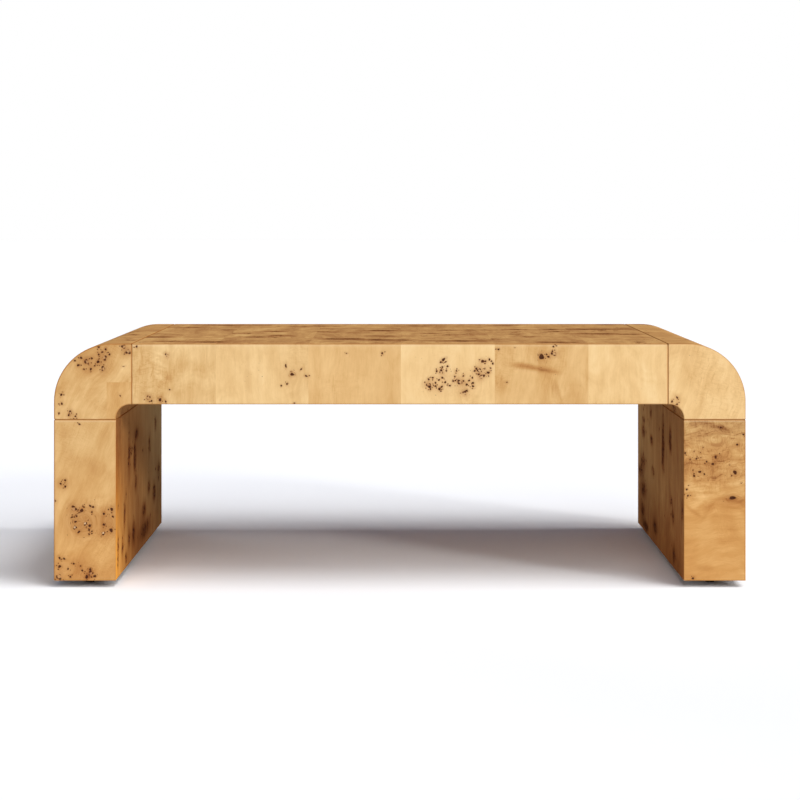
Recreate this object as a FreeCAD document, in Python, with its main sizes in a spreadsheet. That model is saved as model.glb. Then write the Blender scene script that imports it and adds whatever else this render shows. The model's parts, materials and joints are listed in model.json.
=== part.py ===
import FreeCAD, Part
import math
import os
import re
import Sketcher
from FreeCAD import Placement, Rotation, Vector

# Waterfall coffee table: a hollow veneered box construction in five sections.
# Frame: origin on the floor under the middle of the table, +X along its length,
# +Y from the front face to the back face, +Z up. Millimetres.

doc = FreeCAD.newDocument("WaterfallCoffeeTable")
sheet = doc.addObject("Spreadsheet::Sheet", "Sizes")

SIZES = [
    # outside
    ("half_length", 610.0), ("half_depth", 330.0), ("top_level", 430.0), ("floor_gap", 12.0),
    ("leg_thick", 109.0), ("apron_thick", 107.0), ("outer_radius", 102.0), ("inner_radius", 25.0),
    # seams between the sections, and the V-groove that marks each of them
    ("seam_side", 473.0), ("seam_level", 296.0), ("groove", 1.5),
    # sheet materials
    ("veneer", 0.8), ("panel_thick", 18.0), ("under_thick", 12.0), ("skin_thick", 9.0),
    # dowels and screws of the section joints
    ("dowel_radius", 5.0), ("dowel_length", 32.0), ("dowel_level", 80.0),
    ("dowel_near", 50.0), ("dowel_mid", 150.0), ("dowel_far", 250.0),
    ("leg_dowel_near", 60.0), ("leg_dowel_far", 220.0),
    ("screw_radius", 2.5), ("screw_depth", 14.0), ("screw_head_radius", 5.0), ("screw_head_tall", 3.0),
    ("screw_level", 58.0), ("screw_near", 60.0), ("screw_far", 200.0),
    # tie bolts, threaded inserts
    ("tie_place", 140.0), ("tie_radius", 4.0), ("tie_clear", 4.25), ("tie_head_radius", 6.5),
    ("tie_head_tall", 8.0), ("tie_socket", 3.46), ("tie_socket_deep", 4.5), ("bore_radius", 8.0), ("bore_deep", 10.0),
    ("insert_radius", 5.0), ("insert_bore", 4.05), ("insert_long", 15.0), ("flange_radius", 9.0), ("flange_tall", 2.0),
    # levelling feet
    ("foot_place", 272.0), ("pad_radius", 8.0), ("pad_tall", 6.0), ("pad_bevel", 0.8), ("socket_radius", 3.05),
    ("socket_floor", 2.0), ("tip_radius", 3.0), ("tip_low", 2.05), ("hex_low", 7.0), ("hex_high", 10.0),
    ("hex_corner", 6.35), ("stem_radius", 4.0), ("stem_high", 46.0),
]
for row, (name, value) in enumerate(SIZES, start=1):
    sheet.set("A%d" % row, name)
    sheet.set("B%d" % row, "%g" % value)
    sheet.setAlias("B%d" % row, name)
doc.recompute()

NAMES = sorted((n for n, _ in SIZES), key=len, reverse=True)
WORDS = re.compile(r"\b(%s)\b" % "|".join(NAMES))
VALUE = dict(SIZES)


def bind(text):
    return WORDS.sub(lambda m: "Sizes." + m.group(1), text)


def num(text):
    """The present value of a size expression, read from the sheet."""
    got = sheet.evalExpression(bind(text))
    return float(got.Value if hasattr(got, "Value") else got)


# ---------------------------------------------------------------- helpers

def new_body(label):
    body = doc.addObject("PartDesign::Body", label)
    body.Label = label
    return body


def origin_plane(body, role):
    return next(f for f in body.Origin.OriginFeatures if f.Role == role)


def new_sketch(body, role, name):
    sketch = body.newObject("Sketcher::SketchObject", name)
    sketch.AttachmentSupport = [(origin_plane(body, role), "")]
    sketch.MapMode = "FlatFace"
    return sketch


def bind_last(sketch, text):
    sketch.setExpression("Constraints[%d]" % (sketch.ConstraintCount - 1), bind(text))


def fix_x(sketch, geo, point, text):
    if abs(num(text)) < 1e-9:
        sketch.addConstraint(Sketcher.Constraint("PointOnObject", geo, point, -2))
    else:
        sketch.addConstraint(Sketcher.Constraint("DistanceX", -1, 1, geo, point, num(text)))
        bind_last(sketch, text)


def fix_y(sketch, geo, point, text):
    if abs(num(text)) < 1e-9:
        sketch.addConstraint(Sketcher.Constraint("PointOnObject", geo, point, -1))
    else:
        sketch.addConstraint(Sketcher.Constraint("DistanceY", -1, 1, geo, point, num(text)))
        bind_last(sketch, text)


def rectangle(sketch, wide, deep):
    """A rectangle with one corner on the sketch's origin."""
    w, d = num(wide), num(deep)
    corners = [(0, 0), (w, 0), (w, d), (0, d)]
    for k in range(4):
        a, b = corners[k], corners[(k + 1) % 4]
        sketch.addGeometry(Part.LineSegment(Vector(a[0], a[1], 0), Vector(b[0], b[1], 0)), False)
    for k in range(4):
        sketch.addConstraint(Sketcher.Constraint("Coincident", k, 2, (k + 1) % 4, 1))
        sketch.addConstraint(Sketcher.Constraint("Horizontal" if k % 2 == 0 else "Vertical", k))
    sketch.addConstraint(Sketcher.Constraint("Coincident", 0, 1, -1, 1))
    sketch.addConstraint(Sketcher.Constraint("DistanceX", 0, 1, 0, 2, w))
    bind_last(sketch, wide)
    sketch.addConstraint(Sketcher.Constraint("DistanceY", 1, 1, 1, 2, d))
    bind_last(sketch, deep)


def circles(sketch, spots):
    for x, y, radius in spots:
        geo = sketch.addGeometry(Part.Circle(Vector(num(x), num(y), 0), Vector(0, 0, 1), num(radius)), False)
        sketch.addConstraint(Sketcher.Constraint("Radius", geo, num(radius)))
        bind_last(sketch, radius)
        fix_x(sketch, geo, 3, x)
        fix_y(sketch, geo, 3, y)


def pad(body, sketch, name, length, back=False):
    feature = body.newObject("PartDesign::Pad", name)
    feature.Profile = sketch
    feature.setExpression("Length", bind(length))
    feature.Reversed = back
    sketch.Visibility = False
    return feature


def pocket(body, sketch, name, length, back):
    """A pocket of that length; back turns it round to point into the solid. It has to remove something."""
    doc.recompute()
    before = body.Shape.Volume
    feature = body.newObject("PartDesign::Pocket", name)
    feature.Profile = sketch
    feature.setExpression("Length", bind(length))
    feature.Reversed = back
    doc.recompute()
    if not body.Shape.Volume < before - 1.0:
        raise RuntimeError("pocket %s cuts nothing" % name)
    return feature


def place(body, x, y, z, turned=False):
    """Puts a body by its local origin; turned is half a turn about the vertical."""
    body.Placement = Placement(Vector(0, 0, 0), Rotation(Vector(0, 0, 1), 180 if turned else 0))
    body.setExpression("Placement.Base.x", bind(x))
    body.setExpression("Placement.Base.y", bind(y))
    body.setExpression("Placement.Base.z", bind(z))


def groove_edges(body, feature, test):
    """Bevels the edges at a section's end, which together make half of a V-groove."""
    doc.recompute()
    names = []
    for k, edge in enumerate(feature.Shape.Edges):
        if test(edge.BoundBox):
            names.append("Edge%d" % (k + 1))
    if not names:
        raise RuntimeError("no groove edge on %s" % body.Label)
    bevel = body.newObject("PartDesign::Chamfer", body.Label + "_bevel")
    bevel.Base = (feature, names)
    bevel.setExpression("Size", bind("groove"))
    body.Tip = bevel
    return bevel


def at(value, low, high):
    return abs(low - value) < 1e-5 and abs(high - value) < 1e-5


def board(label, size, corner, outside=""):
    """A flat board or veneer sheet. outside names the faces that show, with the ends that meet a seam:
    letters x X y Y z Z are the low and high faces, and what follows the bar are the seam ends."""
    body = new_body(label)
    outline = new_sketch(body, "XY_Plane", label + "_outline")
    rectangle(outline, size[0], size[1])
    slab = pad(body, outline, label + "_slab", size[2])
    if outside:
        faces, ends = outside.split("|")
        high = [num(s) for s in size]

        def on(box, letter):
            axis = "xyz".index(letter.lower())
            value = high[axis] if letter.isupper() else 0.0
            low, top = ((box.XMin, box.XMax), (box.YMin, box.YMax), (box.ZMin, box.ZMax))[axis]
            return at(value, low, top)
        groove_edges(body, slab, lambda box: any(on(box, e) for e in ends) and any(on(box, f) for f in faces))
    place(body, *corner)
    return body


def mirrored_name(side):
    return "right" if side > 0 else "left"


def profile(label, path, length, name="outline"):
    """A closed outline in the table's X-Z plane, padded along +Y.
    path: ("H", level) and ("V", place) lines, and ("A", radius, centre x, centre y, ccw, tangent) arcs between
    them, each with the numbers of its end point."""
    body = new_body(label)
    sketch = new_sketch(body, "XZ_Plane", label + "_" + name)
    count = len(path)
    ends = [(num(p[-2]), num(p[-1])) for p in path]
    starts = [ends[k - 1] for k in range(count)]
    for k, part in enumerate(path):
        a, b = starts[k], ends[k]
        if part[0] in "HV":
            sketch.addGeometry(Part.LineSegment(Vector(a[0], a[1], 0), Vector(b[0], b[1], 0)), False)
        else:
            cx, cy, radius = num(part[2]), num(part[3]), num(part[1])
            first = math.atan2(a[1] - cy, a[0] - cx)
            last = math.atan2(b[1] - cy, b[0] - cx)
            ring = Part.Circle(Vector(cx, cy, 0), Vector(0, 0, 1), radius)
            sketch.addGeometry(Part.ArcOfCircle(ring, first, last) if part[4] else Part.ArcOfCircle(ring, last, first), False)

    def start_of(k):
        return 1 if path[k][0] != "A" or path[k][4] else 2

    def end_of(k):
        return 2 if path[k][0] != "A" or path[k][4] else 1
    for k in range(count):
        nxt = (k + 1) % count
        smooth = any(path[j][0] == "A" and path[j][5] for j in (k, nxt))
        sketch.addConstraint(Sketcher.Constraint("Tangent" if smooth else "Coincident", k, end_of(k), nxt, start_of(nxt)))
    for k, part in enumerate(path):
        if part[0] == "H":
            sketch.addConstraint(Sketcher.Constraint("Horizontal", k))
            fix_y(sketch, k, 1, part[1])
        elif part[0] == "V":
            sketch.addConstraint(Sketcher.Constraint("Vertical", k))
            fix_x(sketch, k, 1, part[1])
        else:
            sketch.addConstraint(Sketcher.Constraint("Radius", k, num(part[1])))
            bind_last(sketch, part[1])
            if not part[5]:
                fix_x(sketch, k, 3, part[2])
                fix_y(sketch, k, 3, part[3])
    block = pad(body, sketch, label + "_block", length)
    doc.recompute()
    if block.Shape.BoundBox.YMin < -1e-6:
        block.Reversed = True
        doc.recompute()
    return body, block


def revolve(label, points):
    """A turned piece about its own Z axis. points: (radius, height) pairs of a closed outline."""
    body = new_body(label)
    sketch = new_sketch(body, "XZ_Plane", label + "_section")
    spots = [(num(a), num(b)) for a, b in points]
    count = len(spots)
    for k in range(count):
        a, b = spots[k], spots[(k + 1) % count]
        sketch.addGeometry(Part.LineSegment(Vector(a[0], a[1], 0), Vector(b[0], b[1], 0)), False)
    for k in range(count):
        sketch.addConstraint(Sketcher.Constraint("Coincident", k, 2, (k + 1) % count, 1))
    for k, (a, b) in enumerate(points):
        fix_x(sketch, k, 1, a)
        fix_y(sketch, k, 1, b)
    turned = body.newObject("PartDesign::Revolution", label + "_turned")
    turned.Profile = sketch
    turned.ReferenceAxis = (sketch, ["V_Axis"])
    turned.Angle = 360.0
    doc.recompute()
    return body


def hexagon(sketch, corner):
    """A regular hexagon about the sketch's origin, a corner on its X axis."""
    size = num(corner)
    spots = [Vector(size * math.cos(math.radians(60 * k)), size * math.sin(math.radians(60 * k)), 0) for k in range(6)]
    for k in range(6):
        sketch.addGeometry(Part.LineSegment(spots[k], spots[(k + 1) % 6]), False)
    ring = sketch.addGeometry(Part.Circle(Vector(0, 0, 0), Vector(0, 0, 1), size), True)
    sketch.addConstraint(Sketcher.Constraint("Coincident", ring, 3, -1, 1))
    sketch.addConstraint(Sketcher.Constraint("Radius", ring, size))
    bind_last(sketch, corner)
    for k in range(6):
        sketch.addConstraint(Sketcher.Constraint("Coincident", k, 2, (k + 1) % 6, 1))
        sketch.addConstraint(Sketcher.Constraint("PointOnObject", k, 1, ring))
    for k in range(1, 6):
        sketch.addConstraint(Sketcher.Constraint("Equal", 0, k))
    sketch.addConstraint(Sketcher.Constraint("PointOnObject", 0, 1, -1))


def group(label, members):
    bundle = doc.addObject("Part::Compound", label)
    bundle.Label = label
    bundle.Links = members
    return bundle


NODES = []
CORE_X = "(half_length - veneer)"
CORE_Y = "(half_depth - veneer)"
CORE_TOP = "(top_level - veneer)"
UNDERSIDE = "(top_level - apron_thick)"
CORE_UNDER = "(top_level - apron_thick + veneer)"
INSIDE_Y = "(half_depth - veneer - panel_thick)"
LEG_IN = "(half_length - leg_thick)"
LEG_MID = "(half_length - leg_thick / 2)"

# ---------------------------------------------------------------- top section
NODES.append(board("top_panel", ("2 * seam_side", "2 * " + CORE_Y, "panel_thick"),
                   ("-seam_side", "-" + CORE_Y, CORE_TOP + " - panel_thick"), "yYZ|xX"))
NODES.append(board("top_underside_panel", ("2 * seam_side", "2 * " + CORE_Y, "under_thick"),
                   ("-seam_side", "-" + CORE_Y, CORE_UNDER), "yYz|xX"))
RAIL_TALL = "(apron_thick - 2 * veneer - panel_thick - under_thick)"
RAIL_LOW = "(top_level - apron_thick + veneer + under_thick)"
NODES.append(board("top_front_rail", ("2 * seam_side", "panel_thick", RAIL_TALL),
                   ("-seam_side", "-" + CORE_Y, RAIL_LOW), "y|xX"))
NODES.append(board("top_back_rail", ("2 * seam_side", "panel_thick", RAIL_TALL),
                   ("-seam_side", INSIDE_Y, RAIL_LOW), "Y|xX"))
ribs = []
for k, place_x in enumerate(("-seam_side / 2", "0", "seam_side / 2")):
    ribs.append(board("top_cross_rib_%d" % (k + 1), ("panel_thick", "2 * " + INSIDE_Y, RAIL_TALL),
                      (place_x + " - panel_thick / 2", "-" + INSIDE_Y, RAIL_LOW)))
NODES.append(group("top_cross_ribs", ribs))


def joint_plate(label, low, tall, x, turned, screw_deep):
    """An upright plate whose joint face is its local plane x = 0: blind dowel holes and screw holes open there."""
    body = new_body(label)
    outline = new_sketch(body, "YZ_Plane", label + "_outline")
    rectangle(outline, "2 * " + INSIDE_Y, tall)
    pad(body, outline, label + "_slab", "panel_thick")
    level = "seam_level + dowel_level - (%s)" % low
    dowel_holes = new_sketch(body, "YZ_Plane", label + "_dowel_holes")
    circles(dowel_holes, [(INSIDE_Y + " %s" % s, level, "dowel_radius") for s in
                          ("- dowel_far", "- dowel_mid", "- dowel_near", "+ dowel_near", "+ dowel_mid", "+ dowel_far")])
    pocket(body, dowel_holes, label + "_dowel_bores", "dowel_length / 2", True)
    screw_holes = new_sketch(body, "YZ_Plane", label + "_screw_holes")
    level = "seam_level + screw_level - (%s)" % low
    circles(screw_holes, [(INSIDE_Y + " %s" % s, level, "screw_radius") for s in
                          ("- screw_far", "- screw_near", "+ screw_near", "+ screw_far")])
    pocket(body, screw_holes, label + "_screw_bores", screw_deep, True)
    place(body, x, INSIDE_Y if turned else "-" + INSIDE_Y, low, turned)
    return body


NODES.append(group("top_end_plates", [
    joint_plate("top_end_plate_left", RAIL_LOW, RAIL_TALL, "-seam_side", False, "screw_depth"),
    joint_plate("top_end_plate_right", RAIL_LOW, RAIL_TALL, "seam_side", True, "screw_depth")]))

NODES.append(board("veneer_top", ("2 * (seam_side - groove)", "2 * half_depth", "veneer"),
                   ("-(seam_side - groove)", "-half_depth", CORE_TOP)))
NODES.append(board("veneer_apron_front", ("2 * (seam_side - groove)", "veneer", "apron_thick - veneer"),
                   ("-(seam_side - groove)", "-half_depth", UNDERSIDE)))
NODES.append(board("veneer_apron_back", ("2 * (seam_side - groove)", "veneer", "apron_thick - veneer"),
                   ("-(seam_side - groove)", CORE_Y, UNDERSIDE)))
NODES.append(board("veneer_underside", ("2 * (seam_side - groove)", "2 * " + CORE_Y, "veneer"),
                   ("-(seam_side - groove)", "-" + CORE_Y, UNDERSIDE)))

# ---------------------------------------------------------------- corner sections
# Local outline coordinates start where the two seams of a corner would cross: first the way out
# from the upright seam, then the height above the level seam.
WIDE = "(half_length - seam_side)"
TALL = "(top_level - seam_level)"
BEND_X = "(half_length - seam_side - outer_radius)"
BEND_Z = "(top_level - seam_level - outer_radius)"
HOLLOW_X = "(half_length - seam_side - leg_thick - inner_radius)"
HOLLOW_Z = "(top_level - seam_level - apron_thick - inner_radius)"


def outer_band(label, near, far, gap, length):
    """A bent sheet under the outer face, between two depths below it."""
    return profile(label, [
        ("H", "%s - %s" % (TALL, near), BEND_X, "%s - %s" % (TALL, near)),
        ("A", "outer_radius - %s" % near, BEND_X, BEND_Z, False, True, "%s - %s" % (WIDE, near), BEND_Z),
        ("V", "%s - %s" % (WIDE, near), "%s - %s" % (WIDE, near), gap),
        ("H", gap, "%s - %s" % (WIDE, far), gap),
        ("V", "%s - %s" % (WIDE, far), "%s - %s" % (WIDE, far), BEND_Z),
        ("A", "outer_radius - %s" % far, BEND_X, BEND_Z, True, True, BEND_X, "%s - %s" % (TALL, far)),
        ("H", "%s - %s" % (TALL, far), gap, "%s - %s" % (TALL, far)),
        ("V", gap, gap, "%s - %s" % (TALL, near)),
    ], length)


def inner_band(label, near, far, gap, length):
    """A bent sheet round the inner corner, between two depths behind its face."""
    low = "(%s - apron_thick)" % TALL
    side = "(%s - leg_thick)" % WIDE
    return profile(label, [
        ("H", "%s + %s" % (low, near), HOLLOW_X, "%s + %s" % (low, near)),
        ("A", "inner_radius + %s" % near, HOLLOW_X, HOLLOW_Z, False, True, "%s + %s" % (side, near), HOLLOW_Z),
        ("V", "%s + %s" % (side, near), "%s + %s" % (side, near), gap),
        ("H", gap, "%s + %s" % (side, far), gap),
        ("V", "%s + %s" % (side, far), "%s + %s" % (side, far), HOLLOW_Z),
        ("A", "inner_radius + %s" % far, HOLLOW_X, HOLLOW_Z, True, True, HOLLOW_X, "%s + %s" % (low, far)),
        ("H", "%s + %s" % (low, far), gap, "%s + %s" % (low, far)),
        ("V", gap, gap, "%s + %s" % (low, near)),
    ], length)


def full_section(label, deep, back, gap, length):
    """A flat piece of the corner's whole section, from deep below the outer face to back behind the inner one."""
    low = "(%s - apron_thick)" % TALL
    side = "(%s - leg_thick)" % WIDE
    return profile(label, [
        ("H", "%s - %s" % (TALL, deep), BEND_X, "%s - %s" % (TALL, deep)),
        ("A", "outer_radius - %s" % deep, BEND_X, BEND_Z, False, True, "%s - %s" % (WIDE, deep), BEND_Z),
        ("V", "%s - %s" % (WIDE, deep), "%s - %s" % (WIDE, deep), gap),
        ("H", gap, "%s + %s" % (side, back), gap),
        ("V", "%s + %s" % (side, back), "%s + %s" % (side, back), HOLLOW_Z),
        ("A", "inner_radius + %s" % back, HOLLOW_X, HOLLOW_Z, True, True, HOLLOW_X, "%s + %s" % (low, back)),
        ("H", "%s + %s" % (low, back), gap, "%s + %s" % (low, back)),
        ("V", gap, gap, "%s - %s" % (TALL, deep)),
    ], length)


def former_section(label):
    """An inner former, let in between the two joint plates of a corner."""
    reach = "(inner_radius + veneer + skin_thick)"
    hang = "(%s + sqrt(%s ^ 2 - (panel_thick - %s) ^ 2))"
    up = hang % (HOLLOW_Z, reach, HOLLOW_X)
    out = hang % (HOLLOW_X, reach, HOLLOW_Z)
    deep = "(veneer + skin_thick)"
    return profile(label, [
        ("H", "%s - %s" % (TALL, deep), BEND_X, "%s - %s" % (TALL, deep)),
        ("A", "outer_radius - %s" % deep, BEND_X, BEND_Z, False, True, "%s - %s" % (WIDE, deep), BEND_Z),
        ("V", "%s - %s" % (WIDE, deep), "%s - %s" % (WIDE, deep), "panel_thick"),
        ("H", "panel_thick", out, "panel_thick"),
        ("A", reach, HOLLOW_X, HOLLOW_Z, True, False, "panel_thick", up),
        ("V", "panel_thick", "panel_thick", "%s - %s" % (TALL, deep)),
    ], "panel_thick")


def seam_test(shown_depths, length, outer=None, inner=None):
    """Edges on the two seam ends that lie on a face that shows: y faces by depth, and the bent face."""
    def test(box):
        seam_x = at(0.0, box.XMin, box.XMax)
        seam_z = at(0.0, box.ZMin, box.ZMax)
        if not (seam_x or seam_z):
            return False
        if any(at(d, box.YMin, box.YMax) for d in shown_depths):
            return True
        if outer is not None:
            return (seam_x and at(num(TALL) - outer, box.ZMin, box.ZMax)) or (seam_z and at(num(WIDE) - outer, box.XMin, box.XMax))
        if inner is not None:
            return (seam_x and at(num(TALL) - num("apron_thick") + inner, box.ZMin, box.ZMax)) or \
                   (seam_z and at(num(WIDE) - num("leg_thick") + inner, box.XMin, box.XMax))
        return False
    return test


def put_corner(body, side, low_y, high_y):
    """low_y and high_y are where the piece begins and ends in the table's depth."""
    if side > 0:
        place(body, "seam_side", low_y, "seam_level")
    else:
        place(body, "-seam_side", high_y, "seam_level", True)


formers, side_plates, foot_plates = [], [], []
for side in (-1, 1):
    word = mirrored_name(side)
    thick = num("panel_thick")
    deep = num("2 * " + CORE_Y)

    skin, block = outer_band("corner_%s_outer_skin" % word, "veneer", "(veneer + skin_thick)", "0", "2 * " + CORE_Y)
    groove_edges(skin, block, seam_test((0.0, deep), deep, outer=num("veneer")))
    put_corner(skin, side, "-" + CORE_Y, CORE_Y)
    NODES.append(skin)

    skin, block = inner_band("corner_%s_inner_skin" % word, "veneer", "(veneer + skin_thick)", "0", "2 * " + CORE_Y)
    groove_edges(skin, block, seam_test((0.0, deep), deep, inner=num("veneer")))
    put_corner(skin, side, "-" + CORE_Y, CORE_Y)
    NODES.append(skin)

    for where, low_y, high_y in (("front", "-" + CORE_Y, "-" + INSIDE_Y), ("back", INSIDE_Y, CORE_Y)):
        cheek, block = full_section("corner_%s_%s_cheek" % (word, where), "(veneer + skin_thick)", "(veneer + skin_thick)", "0", "panel_thick")
        shown = 0.0 if (where == "front") == (side > 0) else thick
        groove_edges(cheek, block, seam_test((shown,), thick))
        put_corner(cheek, side, low_y, high_y)
        NODES.append(cheek)

    for k, middle in enumerate(("-dowel_mid + dowel_near", "dowel_mid - dowel_near")):
        former, block = former_section("corner_former_%s_%d" % (word, k + 1))
        put_corner(former, side, middle + " - panel_thick / 2", middle + " + panel_thick / 2")
        formers.append(former)

    low = "seam_level + %s - apron_thick + veneer + skin_thick" % TALL
    side_plates.append(joint_plate("corner_side_plate_%s" % word, low, "apron_thick - 2 * (veneer + skin_thick)",
                                   "%sseam_side" % ("" if side > 0 else "-"), side < 0, "panel_thick"))

    label = "corner_foot_plate_%s" % word
    plate = new_body(label)
    outline = new_sketch(plate, "XY_Plane", label + "_outline")
    rectangle(outline, "leg_thick - 2 * (veneer + skin_thick)", "2 * " + INSIDE_Y)
    pad(plate, outline, label + "_slab", "panel_thick")
    middle = "leg_thick / 2 - veneer - skin_thick"
    bores = new_sketch(plate, "XY_Plane", label + "_dowel_holes")
    circles(bores, [(middle, INSIDE_Y + " %s" % s, "dowel_radius") for s in
                    ("- leg_dowel_far", "- leg_dowel_near", "+ leg_dowel_near", "+ leg_dowel_far")])
    pocket(plate, bores, label + "_dowel_bores", "dowel_length / 2", True)
    bores = new_sketch(plate, "XY_Plane", label + "_insert_holes")
    circles(bores, [(middle, INSIDE_Y + " %s" % s, "insert_radius") for s in ("- tie_place", "+ tie_place")])
    pocket(plate, bores, label + "_insert_bores", "panel_thick", True)
    near = LEG_IN + " + veneer + skin_thick"
    place(plate, near if side > 0 else "-(%s)" % near, ("-" if side > 0 else "") + INSIDE_Y, "seam_level", side < 0)
    foot_plates.append(plate)

    sheet_out, _ = outer_band("corner_%s_veneer_outer" % word, "0", "veneer", "groove", "2 * half_depth")
    put_corner(sheet_out, side, "-half_depth", "half_depth")
    NODES.append(sheet_out)
    sheet_in, _ = inner_band("corner_%s_veneer_inner" % word, "0", "veneer", "groove", "2 * " + CORE_Y)
    put_corner(sheet_in, side, "-" + CORE_Y, CORE_Y)
    NODES.append(sheet_in)
    for where, low_y, high_y in (("front", "-half_depth", "-" + CORE_Y), ("back", CORE_Y, "half_depth")):
        face, _ = full_section("corner_%s_veneer_%s" % (word, where), "veneer", "0", "groove", "veneer")
        put_corner(face, side, low_y, high_y)
        NODES.append(face)
NODES.append(group("corner_formers", formers))
NODES.append(group("corner_side_plates", side_plates))
NODES.append(group("corner_foot_plates", foot_plates))

# ---------------------------------------------------------------- leg sections
LEG_TALL = "(seam_level - floor_gap)"
PANEL_IN = "(leg_thick - 2 * veneer - 2 * panel_thick)"
top_plates, bottom_plates, partitions = [], [], []
for side in (-1, 1):
    word = mirrored_name(side)
    far = CORE_X + " - panel_thick" if side > 0 else "-" + CORE_X
    NODES.append(board("leg_%s_outer_panel" % word, ("panel_thick", "2 * " + INSIDE_Y, LEG_TALL),
                       (far, "-" + INSIDE_Y, "floor_gap"), "X|Z" if side > 0 else "x|Z"))
    near = LEG_IN + " + veneer" if side > 0 else "-(%s + veneer + panel_thick)" % LEG_IN
    NODES.append(board("leg_%s_inner_panel" % word, ("panel_thick", "2 * " + INSIDE_Y, LEG_TALL),
                       (near, "-" + INSIDE_Y, "floor_gap"), "x|Z" if side > 0 else "X|Z"))
    low_x = LEG_IN + " + veneer" if side > 0 else "-" + CORE_X
    NODES.append(board("leg_%s_front_stile" % word, ("leg_thick - 2 * veneer", "panel_thick", LEG_TALL),
                       (low_x, "-" + CORE_Y, "floor_gap"), "xXy|Z"))
    NODES.append(board("leg_%s_back_stile" % word, ("leg_thick - 2 * veneer", "panel_thick", LEG_TALL),
                       (low_x, INSIDE_Y, "floor_gap"), "xXY|Z"))

    # the plates inside a leg start from the middle of its thickness
    inner_x = LEG_MID + " - %s / 2" % PANEL_IN
    middle = PANEL_IN + " / 2"
    label = "leg_top_plate_%s" % word
    plate = new_body(label)
    outline = new_sketch(plate, "XY_Plane", label + "_outline")
    rectangle(outline, PANEL_IN, "2 * " + INSIDE_Y)
    pad(plate, outline, label + "_slab", "panel_thick", True)
    bores = new_sketch(plate, "XY_Plane", label + "_dowel_holes")
    circles(bores, [(middle, INSIDE_Y + " %s" % s, "dowel_radius") for s in
                    ("- leg_dowel_far", "- leg_dowel_near", "+ leg_dowel_near", "+ leg_dowel_far")])
    pocket(plate, bores, label + "_dowel_bores", "dowel_length / 2", False)
    bores = new_sketch(plate, "XY_Plane", label + "_bolt_holes")
    circles(bores, [(middle, INSIDE_Y + " %s" % s, "tie_clear") for s in ("- tie_place", "+ tie_place")])
    pocket(plate, bores, label + "_bolt_bores", "panel_thick", False)
    place(plate, inner_x if side > 0 else "-(%s)" % inner_x, ("-" if side > 0 else "") + INSIDE_Y, "seam_level", side < 0)
    top_plates.append(plate)

    label = "leg_bottom_plate_%s" % word
    plate = new_body(label)
    outline = new_sketch(plate, "XY_Plane", label + "_outline")
    rectangle(outline, PANEL_IN, "2 * " + INSIDE_Y)
    pad(plate, outline, label + "_slab", "panel_thick")
    bores = new_sketch(plate, "XY_Plane", label + "_insert_holes")
    circles(bores, [(middle, INSIDE_Y + " %s" % s, "insert_radius") for s in ("- foot_place", "+ foot_place")]
            + [(middle, INSIDE_Y + " %s" % s, "tie_clear") for s in ("- tie_place", "+ tie_place")])
    pocket(plate, bores, label + "_bores", "panel_thick", True)
    bores = new_sketch(plate, "XY_Plane", label + "_recesses")
    circles(bores, [(middle, INSIDE_Y + " %s" % s, "bore_radius") for s in ("- tie_place", "+ tie_place")])
    pocket(plate, bores, label + "_counterbores", "bore_deep", True)
    place(plate, inner_x if side > 0 else "-(%s)" % inner_x, ("-" if side > 0 else "") + INSIDE_Y, "floor_gap", side < 0)
    bottom_plates.append(plate)

    low_x = inner_x if side > 0 else "-(%s) - %s" % (inner_x, PANEL_IN)
    partitions.append(board("leg_partition_%s" % word, (PANEL_IN, "panel_thick", LEG_TALL + " - 2 * panel_thick"),
                            (low_x, "-panel_thick / 2", "floor_gap + panel_thick")))

    tall = LEG_TALL + " - groove"
    far = CORE_X if side > 0 else "-half_length"
    NODES.append(board("leg_%s_veneer_outer" % word, ("veneer", "2 * half_depth", tall), (far, "-half_depth", "floor_gap")))
    near = LEG_IN if side > 0 else "-(%s + veneer)" % LEG_IN
    NODES.append(board("leg_%s_veneer_inner" % word, ("veneer", "2 * " + CORE_Y, tall), (near, "-" + CORE_Y, "floor_gap")))
    low_x = LEG_IN if side > 0 else "-" + CORE_X
    NODES.append(board("leg_%s_veneer_front" % word, ("leg_thick - veneer", "veneer", tall), (low_x, "-half_depth", "floor_gap")))
    NODES.append(board("leg_%s_veneer_back" % word, ("leg_thick - veneer", "veneer", tall), (low_x, CORE_Y, "floor_gap")))
NODES.append(group("leg_top_plates", top_plates))
NODES.append(group("leg_bottom_plates", bottom_plates))
NODES.append(group("leg_partitions", partitions))

# ---------------------------------------------------------------- fasteners

def rod(name, radius, length, x, y, z, sideways):
    """A plain round rod, along +X if sideways, else along +Z."""
    piece = doc.addObject("Part::Cylinder", name)
    piece.Label = name
    piece.setExpression("Radius", bind(radius))
    piece.setExpression("Height", bind(length))
    piece.Placement = Placement(Vector(0, 0, 0), Rotation(Vector(0, 1, 0), 90) if sideways else Rotation())
    piece.setExpression("Placement.Base.x", bind(x))
    piece.setExpression("Placement.Base.y", bind(y))
    piece.setExpression("Placement.Base.z", bind(z))
    return piece


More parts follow.
